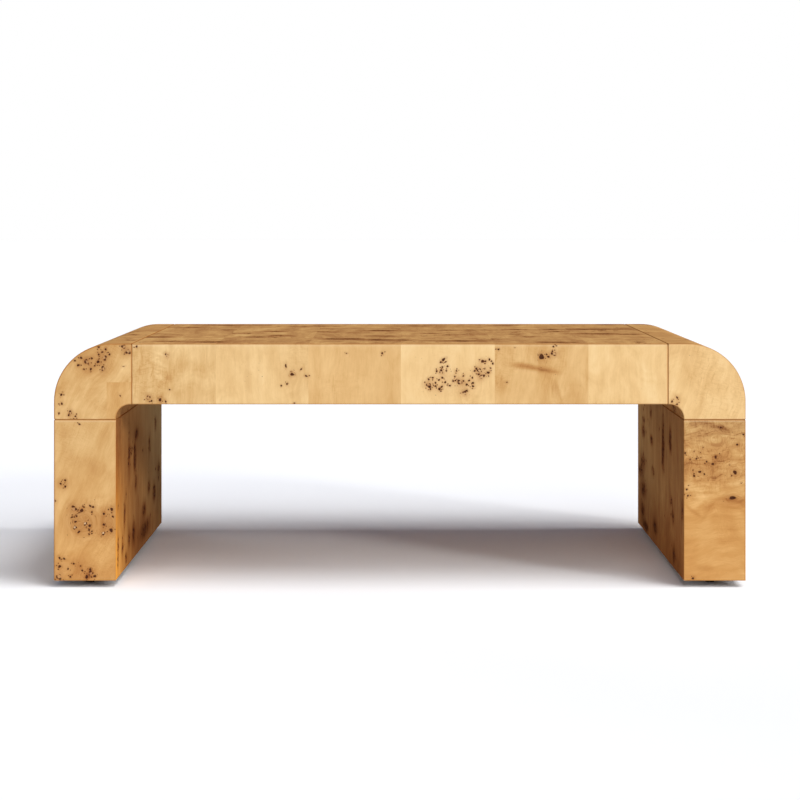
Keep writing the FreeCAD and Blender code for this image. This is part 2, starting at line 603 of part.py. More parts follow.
dowels, screws = [], []
for side in (-1, 1):
    word = mirrored_name(side)
    sign = "" if side > 0 else "-"
    for k, y in enumerate(("-dowel_far", "-dowel_mid", "-dowel_near", "dowel_near", "dowel_mid", "dowel_far")):
        dowels.append(rod("dowel_top_%s_%d" % (word, k + 1), "dowel_radius", "dowel_length",
                          "%sseam_side - dowel_length / 2" % sign, y, "seam_level + dowel_level", True))
    for k, y in enumerate(("-leg_dowel_far", "-leg_dowel_near", "leg_dowel_near", "leg_dowel_far")):
        dowels.append(rod("dowel_leg_%s_%d" % (word, k + 1), "dowel_radius", "dowel_length",
                          "%s%s" % (sign, LEG_MID), y, "seam_level - dowel_length / 2", False))
    for k, y in enumerate(("-screw_far", "-screw_near", "screw_near", "screw_far")):
        name = "screw_%s_%d" % (word, k + 1)
        screw = revolve(name, [("0", "-screw_depth"), ("screw_radius", "-screw_depth"), ("screw_radius", "panel_thick"),
                               ("screw_head_radius", "panel_thick"), ("screw_head_radius", "panel_thick + screw_head_tall"),
                               ("0", "panel_thick + screw_head_tall")])
        screw.Placement = Placement(Vector(0, 0, 0), Rotation(Vector(0, 1, 0), 90 * side))
        screw.setExpression("Placement.Base.x", bind("%sseam_side" % sign))
        screw.setExpression("Placement.Base.y", bind(y))
        screw.setExpression("Placement.Base.z", bind("seam_level + screw_level"))
        screws.append(screw)
NODES.append(group("joint_dowels", dowels))
NODES.append(group("joint_screws", screws))

ties, inserts = [], []
for side in (-1, 1):
    word = mirrored_name(side)
    sign = "" if side > 0 else "-"
    for where, y in (("front", "-tie_place"), ("back", "tie_place")):
        # a cap bolt from its counterbore under the leg up into the corner's insert
        name = "tie_bolt_%s_%s" % (word, where)
        length = "seam_level + panel_thick - floor_gap - bore_deep"
        bolt = revolve(name, [("0", "-tie_head_tall"), ("tie_head_radius", "-tie_head_tall"), ("tie_head_radius", "0"),
                              ("tie_radius", "0"), ("tie_radius", length), ("0", length)])
        socket = new_sketch(bolt, "XY_Plane", name + "_hexagon")
        socket.AttachmentOffset = Placement(Vector(0, 0, 0), Rotation())
        socket.setExpression("AttachmentOffset.Base.z", bind("-tie_head_tall"))
        hexagon(socket, "tie_socket")
        pocket(bolt, socket, name + "_socket", "tie_socket_deep", True)
        place(bolt, "%s%s" % (sign, LEG_MID), y, "floor_gap + bore_deep")
        ties.append(bolt)
        # its insert is let in from the hollow of the corner, flange up
        name = "tie_insert_%s_%s" % (word, where)
        sleeve = revolve(name, [("insert_bore", "-insert_long"), ("insert_radius", "-insert_long"), ("insert_radius", "0"),
                                ("flange_radius", "0"), ("flange_radius", "flange_tall"), ("insert_bore", "flange_tall")])
        place(sleeve, "%s%s" % (sign, LEG_MID), y, "seam_level + panel_thick")
        inserts.append(sleeve)
    for where, y in (("front", "-foot_place"), ("back", "foot_place")):
        # the feet's inserts are let in from below, flange down
        name = "foot_insert_%s_%s" % (word, where)
        sleeve = revolve(name, [("insert_bore", "-flange_tall"), ("flange_radius", "-flange_tall"), ("flange_radius", "0"),
                                ("insert_radius", "0"), ("insert_radius", "insert_long"), ("insert_bore", "insert_long")])
        place(sleeve, "%s%s" % (sign, LEG_MID), y, "floor_gap")
        inserts.append(sleeve)
NODES.append(group("leg_tie_bolts", ties))
NODES.append(group("threaded_inserts", inserts))

# ---------------------------------------------------------------- levelling feet
for side in (-1, 1):
    word = mirrored_name(side)
    sign = "" if side > 0 else "-"
    for where, y in (("front", "-foot_place"), ("back", "foot_place")):
        name = "foot_pad_%s_%s" % (where, word)
        foot = revolve(name, [("0", "0"), ("pad_radius - pad_bevel", "0"), ("pad_radius", "pad_bevel"), ("pad_radius", "pad_tall - pad_bevel"),
                              ("pad_radius - pad_bevel", "pad_tall"), ("socket_radius", "pad_tall"), ("socket_radius", "socket_floor"),
                              ("0", "socket_floor")])
        place(foot, "%s%s" % (sign, LEG_MID), y, "0")
        NODES.append(foot)

        name = "foot_stem_%s_%s" % (where, word)
        stem = revolve(name, [("0", "tip_low"), ("tip_radius", "tip_low"), ("tip_radius", "hex_high"), ("stem_radius", "hex_high"),
                              ("stem_radius", "stem_high"), ("0", "stem_high")])
        nut = new_sketch(stem, "XY_Plane", name + "_hexagon")
        nut.setExpression("AttachmentOffset.Base.z", bind("hex_low"))
        hexagon(nut, "hex_corner")
        pad(stem, nut, name + "_flange", "hex_high - hex_low")
        place(stem, "%s%s" % (sign, LEG_MID), y, "0")
        NODES.append(stem)

# ---------------------------------------------------------------- check and write
doc.recompute()
bad = []
for obj in doc.Objects:
    if any(word in obj.State for word in ("Invalid", "Error")):
        bad.append("%s: %s" % (obj.Label, obj.State))
for node in NODES:
    shape = node.Shape
    if shape.isNull() or not shape.isValid() or not shape.Solids:
        bad.append("%s: shape" % node.Label)
if len({n.Label for n in NODES}) != len(NODES):
    bad.append("labels repeat")
if bad:
    raise RuntimeError("; ".join(bad))

os.makedirs("parts", exist_ok=True)
for node in NODES:
    node.Shape.exportStep(os.path.join("parts", node.Label + ".step"))
    box = node.Shape.BoundBox
    print("%-28s %2d solids %10.1f cm3  x %8.2f %8.2f  y %8.2f %8.2f  z %7.2f %7.2f" % (
        node.Label, len(node.Shape.Solids), node.Shape.Volume / 1000.0,
        box.XMin, box.XMax, box.YMin, box.YMax, box.ZMin, box.ZMax))
print(len(NODES), "nodes")
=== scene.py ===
"""Looks of the waterfall coffee table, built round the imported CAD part.

The 20 veneer nodes are replaced by closed thin sheets with eased edges, cut V-groove
flanks and a burl figure: leaves, eyes, halos and fibre that runs round the eyes.
Lengths in the tables below are millimetres in the part's own frame.
"""

import json
import math

import bpy
import numpy as np
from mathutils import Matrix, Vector
from mathutils.geometry import delaunay_2d_cdt


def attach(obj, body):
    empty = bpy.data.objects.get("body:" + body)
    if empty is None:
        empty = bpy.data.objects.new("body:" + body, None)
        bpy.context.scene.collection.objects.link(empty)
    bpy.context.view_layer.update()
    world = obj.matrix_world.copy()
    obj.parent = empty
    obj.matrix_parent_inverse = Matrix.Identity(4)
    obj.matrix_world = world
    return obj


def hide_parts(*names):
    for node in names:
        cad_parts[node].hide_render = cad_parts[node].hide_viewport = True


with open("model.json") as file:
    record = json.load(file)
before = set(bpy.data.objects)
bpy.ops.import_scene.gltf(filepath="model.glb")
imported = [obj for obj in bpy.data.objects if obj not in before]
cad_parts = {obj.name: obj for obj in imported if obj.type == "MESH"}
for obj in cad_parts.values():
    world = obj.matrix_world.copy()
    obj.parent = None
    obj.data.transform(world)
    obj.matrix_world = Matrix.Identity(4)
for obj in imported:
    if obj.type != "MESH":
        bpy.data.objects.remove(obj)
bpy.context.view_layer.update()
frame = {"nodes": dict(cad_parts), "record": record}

MM = 0.001
R = 0.8  # thickness of the veneer, and the radius its free edges are eased to
QUARTER = R * math.pi / 2
EXT = QUARTER - R  # how far the flat pattern runs past an eased edge
V = 1.5  # depth and half width of a V-groove
STEP = 6.4  # widest spacing of the points of a sheet
FINE = 0.8  # spacing at an eye


# ---------------------------------------------------------------- smooth noise


def noise2(p, size, seed):
    """Smooth noise from about -1 to 1 at points p, with features of that size."""
    angle = np.random.default_rng(seed).random((64, 64)) * 2 * math.pi
    q = p / size + 17.31 * (seed % 13) + 5.7
    i = np.floor(q).astype(int)
    f = q - i
    w = f**3 * (f * (f * 6 - 15) + 10)

    def corner(dx, dy):
        a = angle[(i[:, 0] + dx) % 64, (i[:, 1] + dy) % 64]
        return np.cos(a) * (f[:, 0] - dx) + np.sin(a) * (f[:, 1] - dy)

    low = corner(0, 0) * (1 - w[:, 0]) + corner(1, 0) * w[:, 0]
    high = corner(0, 1) * (1 - w[:, 0]) + corner(1, 1) * w[:, 0]
    return 1.5 * (low * (1 - w[:, 1]) + high * w[:, 1])


# ------------------------------------------------------------- eyes and smears

# kind: (radius, how dark, how strong its halo, ring)
KINDS = {
    "e": (1.5, 1.0, 0.8, 0.0),  # a plain eye
    "b": (2.4, 1.0, 1.0, 0.0),  # a big one
    "B": (3.8, 1.0, 0.8, 0.0),
    "W": (2.2, 1.0, 0.9, 0.0),
    "r": (3.5, 0.80, 1.0, 0.60),  # a broken ring round a dot
    "R": (4.8, 0.88, 1.0, 0.50),
    "l": (3.0, 0.8, 0.45, 1.0),  # a thin ring with a light middle
    "f": (1.35, 0.62, 0.6, 0.0),  # a faint one
    "s": (1.6, 0.8, 0.7, 0.0),
}
STRETCH = {"W": (2.6, 0.0), "B": (1.5, 100.0), "s": (2.2, 90.0)}
COMPANY = {"e": (0, 3), "b": (2, 5), "B": (2, 5), "r": (1, 3), "R": (2, 5), "l": (0, 3)}


def eyes_from(rows, seed):
    """Rows (a, b, kind) or (a, b, kind, size factor) as an array of
    a, b, radius, darkness, halo, ring, stretch, angle, phase 1, phase 2.
    An eye without a size factor has small ones beside it."""
    rng = np.random.default_rng(seed)
    out = []
    for row in rows:
        a, b, kind = row[:3]
        r, dark, halo, ring = KINDS[kind]
        stretch, angle = STRETCH.get(
            kind, (1 + 0.5 * rng.random() ** 2, 180 * rng.random())
        )
        r *= (row[3] if len(row) > 3 else 1) * (0.85 + 0.35 * rng.random())
        dark *= 0.92 + 0.08 * rng.random()
        out.append(
            [a, b, r, dark, halo, ring, stretch, math.radians(angle)]
            + list(rng.random(2) * 2 * math.pi)
        )
        if len(row) == 3 and kind in COMPANY:
            for _ in range(rng.integers(*COMPANY[kind])):
                way, far = rng.uniform(0, 2 * math.pi), r * rng.uniform(1.4, 2.3) + 1.4
                small = [rng.uniform(0.65, 0.95), rng.uniform(0.75, 1.0), 0.5, 0.0, 1.2, way]
                out.append(
                    [a + far * math.cos(way), b + far * math.sin(way)]
                    + small
                    + list(rng.random(2) * 2 * math.pi)
                )
    return np.array(out, float).reshape(-1, 10)


def burl_rows(seed, a0, a1, b0, b1, strings, loose):
    """Eyes for a face: strings of eyes that wander, as they do in burl, and loose ones."""
    rng = np.random.default_rng(seed)
    rows = []

    def eye(a, b, low=1.0):
        if a0 + 1 < a < a1 - 1 and b0 + 1 < b < b1 - 1:
            kind = rng.choice(
                ["e", "f", "b", "r", "l"], p=[0.62, 0.14, 0.10, 0.10, 0.04]
            )
            rows.append((a, b, str(kind), low * (0.75 + 0.5 * rng.random())))

    for _ in range(strings):
        a, b = rng.uniform(a0, a1), rng.uniform(b0, b1)
        way = rng.uniform(0, 2 * math.pi)
        for _ in range(rng.integers(3, 9)):
            for _ in range(rng.integers(2, 6)):
                eye(a + rng.normal(0, 6.5), b + rng.normal(0, 6.5))
            way += rng.uniform(-1.0, 1.0)
            a += 14 * math.cos(way)
            b += 14 * math.sin(way)
    for _ in range(loose):
        eye(rng.uniform(a0, a1), rng.uniform(b0, b1), 0.9)
    return rows


def patch_rows(seed, patches):
    """Eyes inside patches (a, b, half width, half height, strength)."""
    rng = np.random.default_rng(seed)
    rows = []
    for a, b, wa, wb, strength in patches:
        for _ in range(int(4 + 0.011 * wa * wb * 4 * strength)):
            kind = rng.choice(["e", "b", "r", "f"], p=[0.62, 0.16, 0.12, 0.10])
            rows.append(
                (
                    a + rng.normal(0, wa * 0.5),
                    b + rng.normal(0, wb * 0.5),
                    str(kind),
                    0.8 + 0.5 * rng.random(),
                )
            )
    return rows


EYES = {
    "corner_left": [
        (-531, 424, "e"), (-543, 421, "e"), (-555, 417, "e"), (-562, 405, "e"),
        (-573, 400, "e"), (-567, 392, "e"), (-557, 385, "e"), (-545, 385, "e"),
        (-552, 398, "r"), (-543, 404, "e"), (-532, 398, "b"), (-531, 411, "e"),
        (-525, 415, "e"), (-519, 420, "e"), (-512, 411, "e"), (-521, 405, "r"),
        (-523, 386, "r"), (-538, 391, "e"), (-487, 425, "r"), (-479, 416, "r"),
        (-498, 431, "f"), (-597, 340, "e"), (-596, 324, "e"), (-606, 343, "e"),
        (-608, 332, "f"), (-601, 307, "e"), (-581, 308, "r"), (-584, 304, "e"),
        (-572, 302, "e"), (-575, 298, "f"), (-487, 390, "f"), (-493, 338, "f"),
    ],
    "apron": [
        (-464, 425, "e"), (-411, 410, "r", 0.8), (-443, 335, "r"), (-438, 329, "e"),
        (-423, 331, "b"), (-413, 328, "e"), (-406, 349, "e"), (-190, 376, "b"),
        (-199, 359, "e"), (-209, 356, "e"), (-174, 385, "e"), (-165, 373, "e"),
        (-201, 391, "s"), (-186, 325, "e"), (-31, 413, "e"), (-94, 413, "f"),
        (77, 402, "b"), (72, 397, "e"), (81, 398, "e"), (75, 389, "e"),
        (84, 390, "e"), (65, 381, "e"), (73, 380, "r"), (82, 382, "e"),
        (58, 370, "e"), (51, 367, "e"), (51, 357, "R"), (54, 350, "e"),
        (63, 361, "e"), (63, 355, "e"), (69, 366, "e"), (75, 370, "e"),
        (80, 362, "e"), (70, 350, "b"), (74, 354, "e"), (88, 356, "e"),
        (94, 364, "e"), (100, 382, "e"), (97, 372, "e"), (99, 378, "f"),
        (98, 365, "e"), (112, 373, "e"), (106, 362, "r"), (112, 364, "e"),
        (128, 370, "e"), (122, 365, "e"), (118, 358, "e"), (129, 361, "e"),
        (129, 355, "e"), (128, 351, "f"), (114, 343, "r"), (118, 347, "e"),
        (135, 386, "e"), (132, 382, "e"), (140, 382, "r"), (139, 376, "e"),
        (145, 372, "r"), (156, 379, "b"), (160, 387, "e"), (158, 402, "e"),
        (146, 399, "b"), (151, 399, "e"), (164, 395, "e"), (150, 386, "f"),
        (174, 420, "e"), (203, 423, "f"), (250, 407, "B"), (262, 407, "b", 0.8), (259, 411, "e", 0.8),
        (269, 416, "e"), (272, 412, "r"), (271, 425, "e"), (274, 430, "e"),
        (189, 362, "f"),
    ],
    "corner_right": [(489, 335, "e"), (480, 328, "e"), (489, 323, "e")],
    "leg_left": [
        (-565, 288, "e"), (-590, 189, "e"), (-598, 183, "e"), (-590, 178, "e"),
        (-608, 153, "e"), (-575, 139, "r"), (-561, 136, "b"), (-557, 142, "e"),
        (-546, 144, "e"), (-541, 142, "e"), (-543, 133, "e"), (-578, 124, "e"),
        (-570, 126, "e"), (-572, 116, "e"), (-555, 113, "l"), (-573, 106, "l"),
        (-547, 109, "b"), (-548, 102, "e"), (-543, 99, "e"), (-566, 98, "e"),
        (-548, 94, "e"), (-508, 138, "b"), (-522, 130, "e"), (-506, 125, "e"),
        (-522, 111, "e"), (-509, 101, "b"), (-523, 96, "l"), (-600, 52, "e"),
        (-592, 51, "e"), (-600, 37, "b"), (-585, 33, "e"), (-575, 42, "e"),
        (-563, 38, "e"), (-560, 30, "e"), (-546, 32, "e"), (-552, 19, "b"),
        (-538, 20, "b"), (-545, 25, "r"), (-601, 19, "r"), (-608, 14, "e"),
        (-581, 19, "e"),
    ],
    "leg_right": [
        (503, 237, "e"), (606, 270, "e"), (595, 252, "e"), (566, 282, "e"),
        (570, 283, "f"), (535, 247, "f"), (519, 240, "f"), (530, 238, "f"),
        (523, 227, "e"), (531, 229, "f"), (512, 226, "f"), (541, 222, "e"),
        (557, 230, "e", 1.2), (564, 236, "e", 0.8), (552, 218, "e", 1.1), (582, 216, "f"),
        (591, 203, "b", 1.1), (585, 197, "f"), (529, 204, "e", 1.3), (537, 200, "e", 0.8),
        (519, 197, "e"), (517, 207, "f"), (509, 180, "f"), (506, 173, "e"),
        (508, 162, "e"), (502, 164, "f"), (602, 184, "f"), (587, 158, "W"),
        (517, 16, "e"),
    ],
}

# patches of close eyes on the top: a, b, half width, half depth, strength
TOP_PATCHES = [
    (-364, 277, 29, 14, 0.8), (-295, 288, 25, 12, 0.6), (-183, 242, 39, 14, 0.8),
    (-339, 102, 16, 12, 0.5), (-242, 53, 14, 14, 0.9), (-227, -77, 15, 14, 0.9),
    (-270, -132, 24, 14, 0.9), (-147, 43, 16, 12, 0.6), (-33, 84, 22, 15, 1.0),
    (-37, -100, 32, 12, 0.7), (-106, -193, 35, 15, 1.0), (-40, -223, 25, 15, 1.0),
    (-455, -132, 22, 14, 0.9), (-412, -259, 25, 12, 0.8), (-339, -282, 21, 13, 1.0),
    (94, 95, 24, 13, 0.7), (155, 102, 32, 12, 0.6), (232, 116, 20, 13, 0.7),
    (300, 127, 18, 15, 1.0), (308, 53, 16, 12, 0.6), (216, -35, 13, 12, 0.5),
    (243, -125, 16, 12, 0.5), (374, 127, 30, 14, 0.8), (427, 138, 32, 12, 0.7),
    (377, -28, 35, 16, 0.8), (440, -45, 20, 12, 0.7), (430, 300, 18, 12, 0.7),
    (109, -250, 38, 15, 1.0), (13, -223, 13, 12, 0.7), (275, -290, 23, 13, 0.9),
    (40, 250, 26, 14, 0.7), (200, 262, 22, 12, 0.6), (-430, 190, 24, 13, 0.7),
    (60, -20, 18, 12, 0.5), (-300, -20, 18, 12, 0.5), (170, -200, 18, 12, 0.5),
]


# ------------------------------------------------------------------ the sheets


def ease(c, span, q, inner):
    """Where pattern coordinate c comes to lie between the edges of span, the cosine
    of its turn round an eased edge, and how far a groove's flank drops it."""
    low, high, kind_low, kind_high = span
    out, cosine, fall = c.copy(), np.ones(len(c)), np.zeros(len(c))
    for side, edge, kind in ((-1, low, kind_low), (1, high, kind_high)):
        if kind == "round":
            over = np.clip(side * (c - (edge - side * R)), 0, QUARTER)
            if inner:
                out += side * (R * over / QUARTER - over)
            else:
                out += side * (R * np.sin(over / R) - over)
                cosine *= np.cos(over / R)
        elif kind == "groove":
            fall += np.where(side * (edge - q) < V, V - side * (edge - c), 0)
    return out, cosine, fall


def flat_course(origin, along):
    """A straight course of a sheet: position and outward normal at a."""
    origin, along = np.array(origin, float), np.array(along, float)

    def course(a, normal):
        return origin + a[:, None] * along, np.tile(normal, (len(a), 1))

    return course


class Board:
    """A rectangular sheet, flat or bent along a. span_a and span_b are
    (low edge, high edge, kind at low, kind at high)."""

    def __init__(self, course, across, normal, span_a, span_b, steps_a=None):
        self.course, self.normal = course, np.array(normal, float)
        self.across = np.array(across, float)
        self.span_a, self.span_b, self.steps_a = span_a, span_b, steps_a

    def place(self, p, q, inner=False):
        a, cos_a, fall_a = ease(p[:, 0], self.span_a, q[:, 0], inner)
        b, cos_b, fall_b = ease(p[:, 1], self.span_b, q[:, 1], inner)
        depth = fall_a + fall_b + (R if inner else R * (1 - cos_a * cos_b))
        pos, nrm = self.course(a, self.normal)
        return pos + b[:, None] * self.across - nrm * depth[:, None]

    @staticmethod
    def rows(span):
        low, high, kind_low, kind_high = span
        out = []
        for side, edge, kind in ((-1, low, kind_low), (1, high, kind_high)):
            if kind == "round":
                out += [
                    edge - side * R + side * QUARTER * t for t in (0, 1 / 3, 2 / 3, 1)
                ]
                out += [edge - side * 2.6]
            elif kind == "groove":
                out += [edge, edge - side * V, edge - side * (V + 1.2), edge - side * (V + 3.4)]
            else:
                out += [edge, edge - side * 2.0, edge - side * 4.6]
        return sorted(out)

    def pattern(self, joints_a, joints_b, size):
        rows_a = sorted(set(self.rows(self.span_a)) | set(joints_a))
        rows_b = sorted(set(self.rows(self.span_b)) | set(joints_b))
        a0, a1, b0, b1 = rows_a[0], rows_a[-1], rows_b[0], rows_b[-1]
        key, pts = {}, []

        def point(a, b):
            k = (round(a * 1e4), round(b * 1e4))
            if k not in key:
                key[k] = len(pts)
                pts.append((a, b))
            return key[k]

        def run(fixed, stops, on_a):
            line = []
            for s, e in zip(stops[:-1], stops[1:]):
                here = s
                mid = []
                while True:
                    at = (fixed, here) if on_a else (here, fixed)
                    step = 1.15 * max(FINE, min(STEP, size(np.array([at]))[0]))
                    if here + 1.5 * step >= e:
                        break
                    here += step
                    mid.append(here)
                if mid:  # spread what is left over evenly
                    k = (e - s) / (mid[-1] + step - s) if mid[-1] + step > s else 1
                    mid = [s + (m - s) * min(1.0, k * 1.0) for m in mid]
                line += [s] + mid
            line.append(stops[-1])
            return [point(fixed, x) if on_a else point(x, fixed) for x in line]

        edges = []
        lines_a = {a: run(a, rows_b, True) for a in rows_a}
        lines_b = {b: run(b, rows_a, False) for b in rows_b}
        for line in list(lines_a.values()) + list(lines_b.values()):
            edges += list(zip(line[:-1], line[1:]))
        ring = (
            lines_b[b0][:-1]
            + lines_a[a1][:-1]
            + lines_b[b1][::-1][:-1]
            + lines_a[a0][::-1][:-1]
        )
        inside = quad_points(a0, a1, b0, b1, size)
        near = np.minimum(
            np.min(np.abs(inside[:, :1] - np.array(rows_a)[None]), 1),
            np.min(np.abs(inside[:, 1:] - np.array(rows_b)[None]), 1),
        )
        inside = inside[near > 0.42 * size(inside)]
        pts = np.vstack([np.array(pts), inside])
        eased = np.zeros(len(pts), bool)
        for k, (low, high, kind_low, kind_high) in enumerate(
            (self.span_a, self.span_b)
        ):
            if kind_low == "round":
                eased |= pts[:, k] < low - EXT + 1e-4
            if kind_high == "round":
                eased |= pts[:, k] > high + EXT - 1e-4
        return pts, edges, ring, eased, (a0, a1, b0, b1), None


class Shoulder:
    """The flat front or back of a rounded corner. Pattern coordinates u and v are
    measured from the two seams, out and up."""

    def __init__(self, place_at, normal):
        self.place_at, self.normal = place_at, np.array(normal, float)

    def holds(self, p):
        """Whether middles of triangles lie inside the outline."""
        return self.inside_edge(p)[0] > R - QUARTER - 0.04

    @staticmethod
    def inside_edge(p):
        """Distance inside the small inner bend's edge, and the direction away from it."""
        u, v = p[:, 0], p[:, 1]
        du, dv = u - 3, v - 2
        rho = np.maximum(np.hypot(du, dv), 1e-6)
        low, side = u <= 3, (v <= 2) & (u > 3)
        q = np.where(low, v - 27, np.where(side, u - 28, rho - 25))
        nu = np.where(low, 0, np.where(side, 1, du / rho))
        nv = np.where(low, 1, np.where(side, 0, dv / rho))
        return q, nu, nv

    def place(self, p, q, inner=False):
        dist, nu, nv = self.inside_edge(p)
        over = np.clip(R - dist, 0, QUARTER)
        if inner:
            shift, turn = over - R * over / QUARTER, 0 * over + R
        else:
            shift, turn = over - R * np.sin(over / R), R * (1 - np.cos(over / R))
        u, v = p[:, 0] + nu * shift, p[:, 1] + nv * shift
        fall = np.where(q[:, 0] < V, V - p[:, 0], 0) + np.where(
            q[:, 1] < V, V - p[:, 1], 0
        )
        return self.place_at(u, v) - self.normal * (turn + fall)[:, None]

    def pattern(self, joints_a, joints_b, size):
        pts = []

        def add(points):
            first = len(pts)
            pts.extend(points)
            return list(range(first, len(pts)))

        def inner_row(q):
            """A line q inside the inner edge, from the top seam to the leg seam."""
            r = 25 + q
            turn = [
                (3 + r * math.sin(t), 2 + r * math.cos(t))
                for t in np.linspace(0, math.pi / 2, 15)
            ]
            return [(0.0, 27 + q), (V, 27 + q)] + turn + [(28 + q, V), (28 + q, 0.0)]

        rows = [
            add(inner_row(q))
            for q in (R - QUARTER, R - QUARTER * 2 / 3, R - QUARTER / 3, R, 2.6)
        ]

        def outer_row(r):
            arc = [
                (35 + r * math.sin(t), 32 + r * math.cos(t))
                for t in np.linspace(0, math.pi / 2, 34)
            ]
            return (
                [(0.0, 32 + r), (V, 32 + r)]
                + [(x, 32 + r) for x in np.linspace(V, 35, 7)[1:-1]]
                + arc
                + [(35 + r, x) for x in np.linspace(32, V, 7)[1:]]
                + [(35 + r, 0.0)]
            )

        r = 102 - R
        rim = add(outer_row(r - 2.0))
        outer = add(outer_row(r))
        # seam at u = 0, from the inner edge up, and its bevel line
        stops = np.linspace(27 + R, 32 + r, 20)[1:-1]
        seam_u = add([(0.0, s) for s in stops])
        bevel_u = add([(V, s) for s in stops])
        stops = np.linspace(28 + R, 35 + r, 20)[1:-1]
        seam_v = add([(s, 0.0) for s in stops])
        bevel_v = add([(s, V) for s in stops])
        edges = []

        def chain(ids):
            edges.extend(zip(ids[:-1], ids[1:]))

        for row in rows + [rim, outer]:
            chain(row)
        left = [row[0] for row in rows] + seam_u + [rim[0], outer[0]]
        chain(left)
        chain([row[1] for row in rows] + bevel_u + [rim[1], outer[1]])
        bottom = [row[-1] for row in rows] + seam_v + [rim[-1], outer[-1]]
        chain(bottom)
        chain([row[-2] for row in rows] + bevel_v + [rim[-2], outer[-2]])
        ring = rows[0][:-1] + bottom[:-1] + outer[::-1][:-1] + left[::-1][:-1]
        # leaf joints, up from the leg seam and across to the other seam
        for a, b in zip(joints_a, joints_b):
            chain(add([(a, s) for s in np.linspace(V + 1.5, b, 20)]))
            chain(add([(s, b) for s in np.linspace(V + 1.5, a, 14)]))
        inside = quad_points(0, 35 + r, 0, 32 + r, size)
        u, v = inside.T
        q = self.inside_edge(inside)[0]
        out = np.where(
            u < 35, 32 + r - v, np.where(v < 32, 35 + r - u, r - np.hypot(u - 35, v - 32))
        )
        room = 0.42 * size(inside)
        keep = (q - 2.6 > room) & (out - 2.0 > room) & (u - V > room) & (v - V > room)
        for a, b in zip(joints_a, joints_b):
            keep &= (np.abs(u - a) > room) & (np.abs(v - b) > room)
        first = len(pts)
        pts = np.vstack([np.array(pts), inside[keep]])
        eased = np.zeros(len(pts), bool)
        eased[rows[0]] = True
        assert first <= len(pts)
        return pts, edges, ring, eased, None, ring


def quad_points(a0, a1, b0, b1, size):
    """Corners of square cells that are halved until they are as small as size asks."""
    h = STEP
    a, b = np.meshgrid(np.arange(a0 + h / 2, a1, h), np.arange(b0 + h / 2, b1, h))
    cells = np.stack([a.ravel(), b.ravel()], 1)
    found = []
    while len(cells):
        split = (size(cells) - 0.28 * h < h * 0.98) & (h > FINE * 1.01)
        done = cells[~split]
        for da, db in ((-0.5, -0.5), (0.5, -0.5), (0.5, 0.5), (-0.5, 0.5)):
            found.append(done + np.array([da, db]) * h)
        cells = cells[split]
        h /= 2
        cells = np.concatenate(
            [
                cells + np.array([da, db]) * h / 2
                for da, db in ((-1, -1), (1, -1), (1, 1), (-1, 1))
            ]
        )
    found = np.concatenate(found)
    key = np.unique(
        np.round((found - np.array([a0, b0])) / (FINE / 4)).astype(int), axis=0
    )
    pts = key * (FINE / 4) + np.array([a0, b0])
    keep = (pts[:, 0] > a0) & (pts[:, 0] < a1) & (pts[:, 1] > b0) & (pts[:, 1] < b1)
    pts = pts[keep]
    rng = np.random.default_rng(len(pts))
    return pts + rng.uniform(-0.06, 0.06, pts.shape) * size(pts)[:, None]


def size_field(eyes, to_figure, low, high, fine):
    """A raster of how close together the points of a sheet have to be."""
    grid = 1.6
    nu, nv = (int((h - l) / grid) + 3 for l, h in zip(low, high))
    field = np.full((nu, nv), STEP)
    us = low[0] + grid * np.arange(nu)
    vs = low[1] + grid * np.arange(nv)
    uu, vv = np.meshgrid(us, vs, indexing="ij")
    flat = to_figure(np.stack([uu.ravel(), vv.ravel()], 1)).reshape(nu, nv, 2)
    for a, b, r, _, _, _, stretch, _, _, _ in eyes:
        reach = r * stretch * 1.5 + 16
        d = np.hypot(flat[..., 0] - a, flat[..., 1] - b)
        near = d < reach
        field[near] = np.minimum(
            field[near],
            fine * (1.25 if r > 2.4 else 1) + 0.5 * np.maximum(0, d[near] - 1.4 * r * stretch),
        )

    def size(p):
        i = np.clip(np.round((p[:, 0] - low[0]) / grid).astype(int), 0, nu - 1)
        j = np.clip(np.round((p[:, 1] - low[1]) / grid).astype(int), 0, nv - 1)
        return field[i, j]

    return size


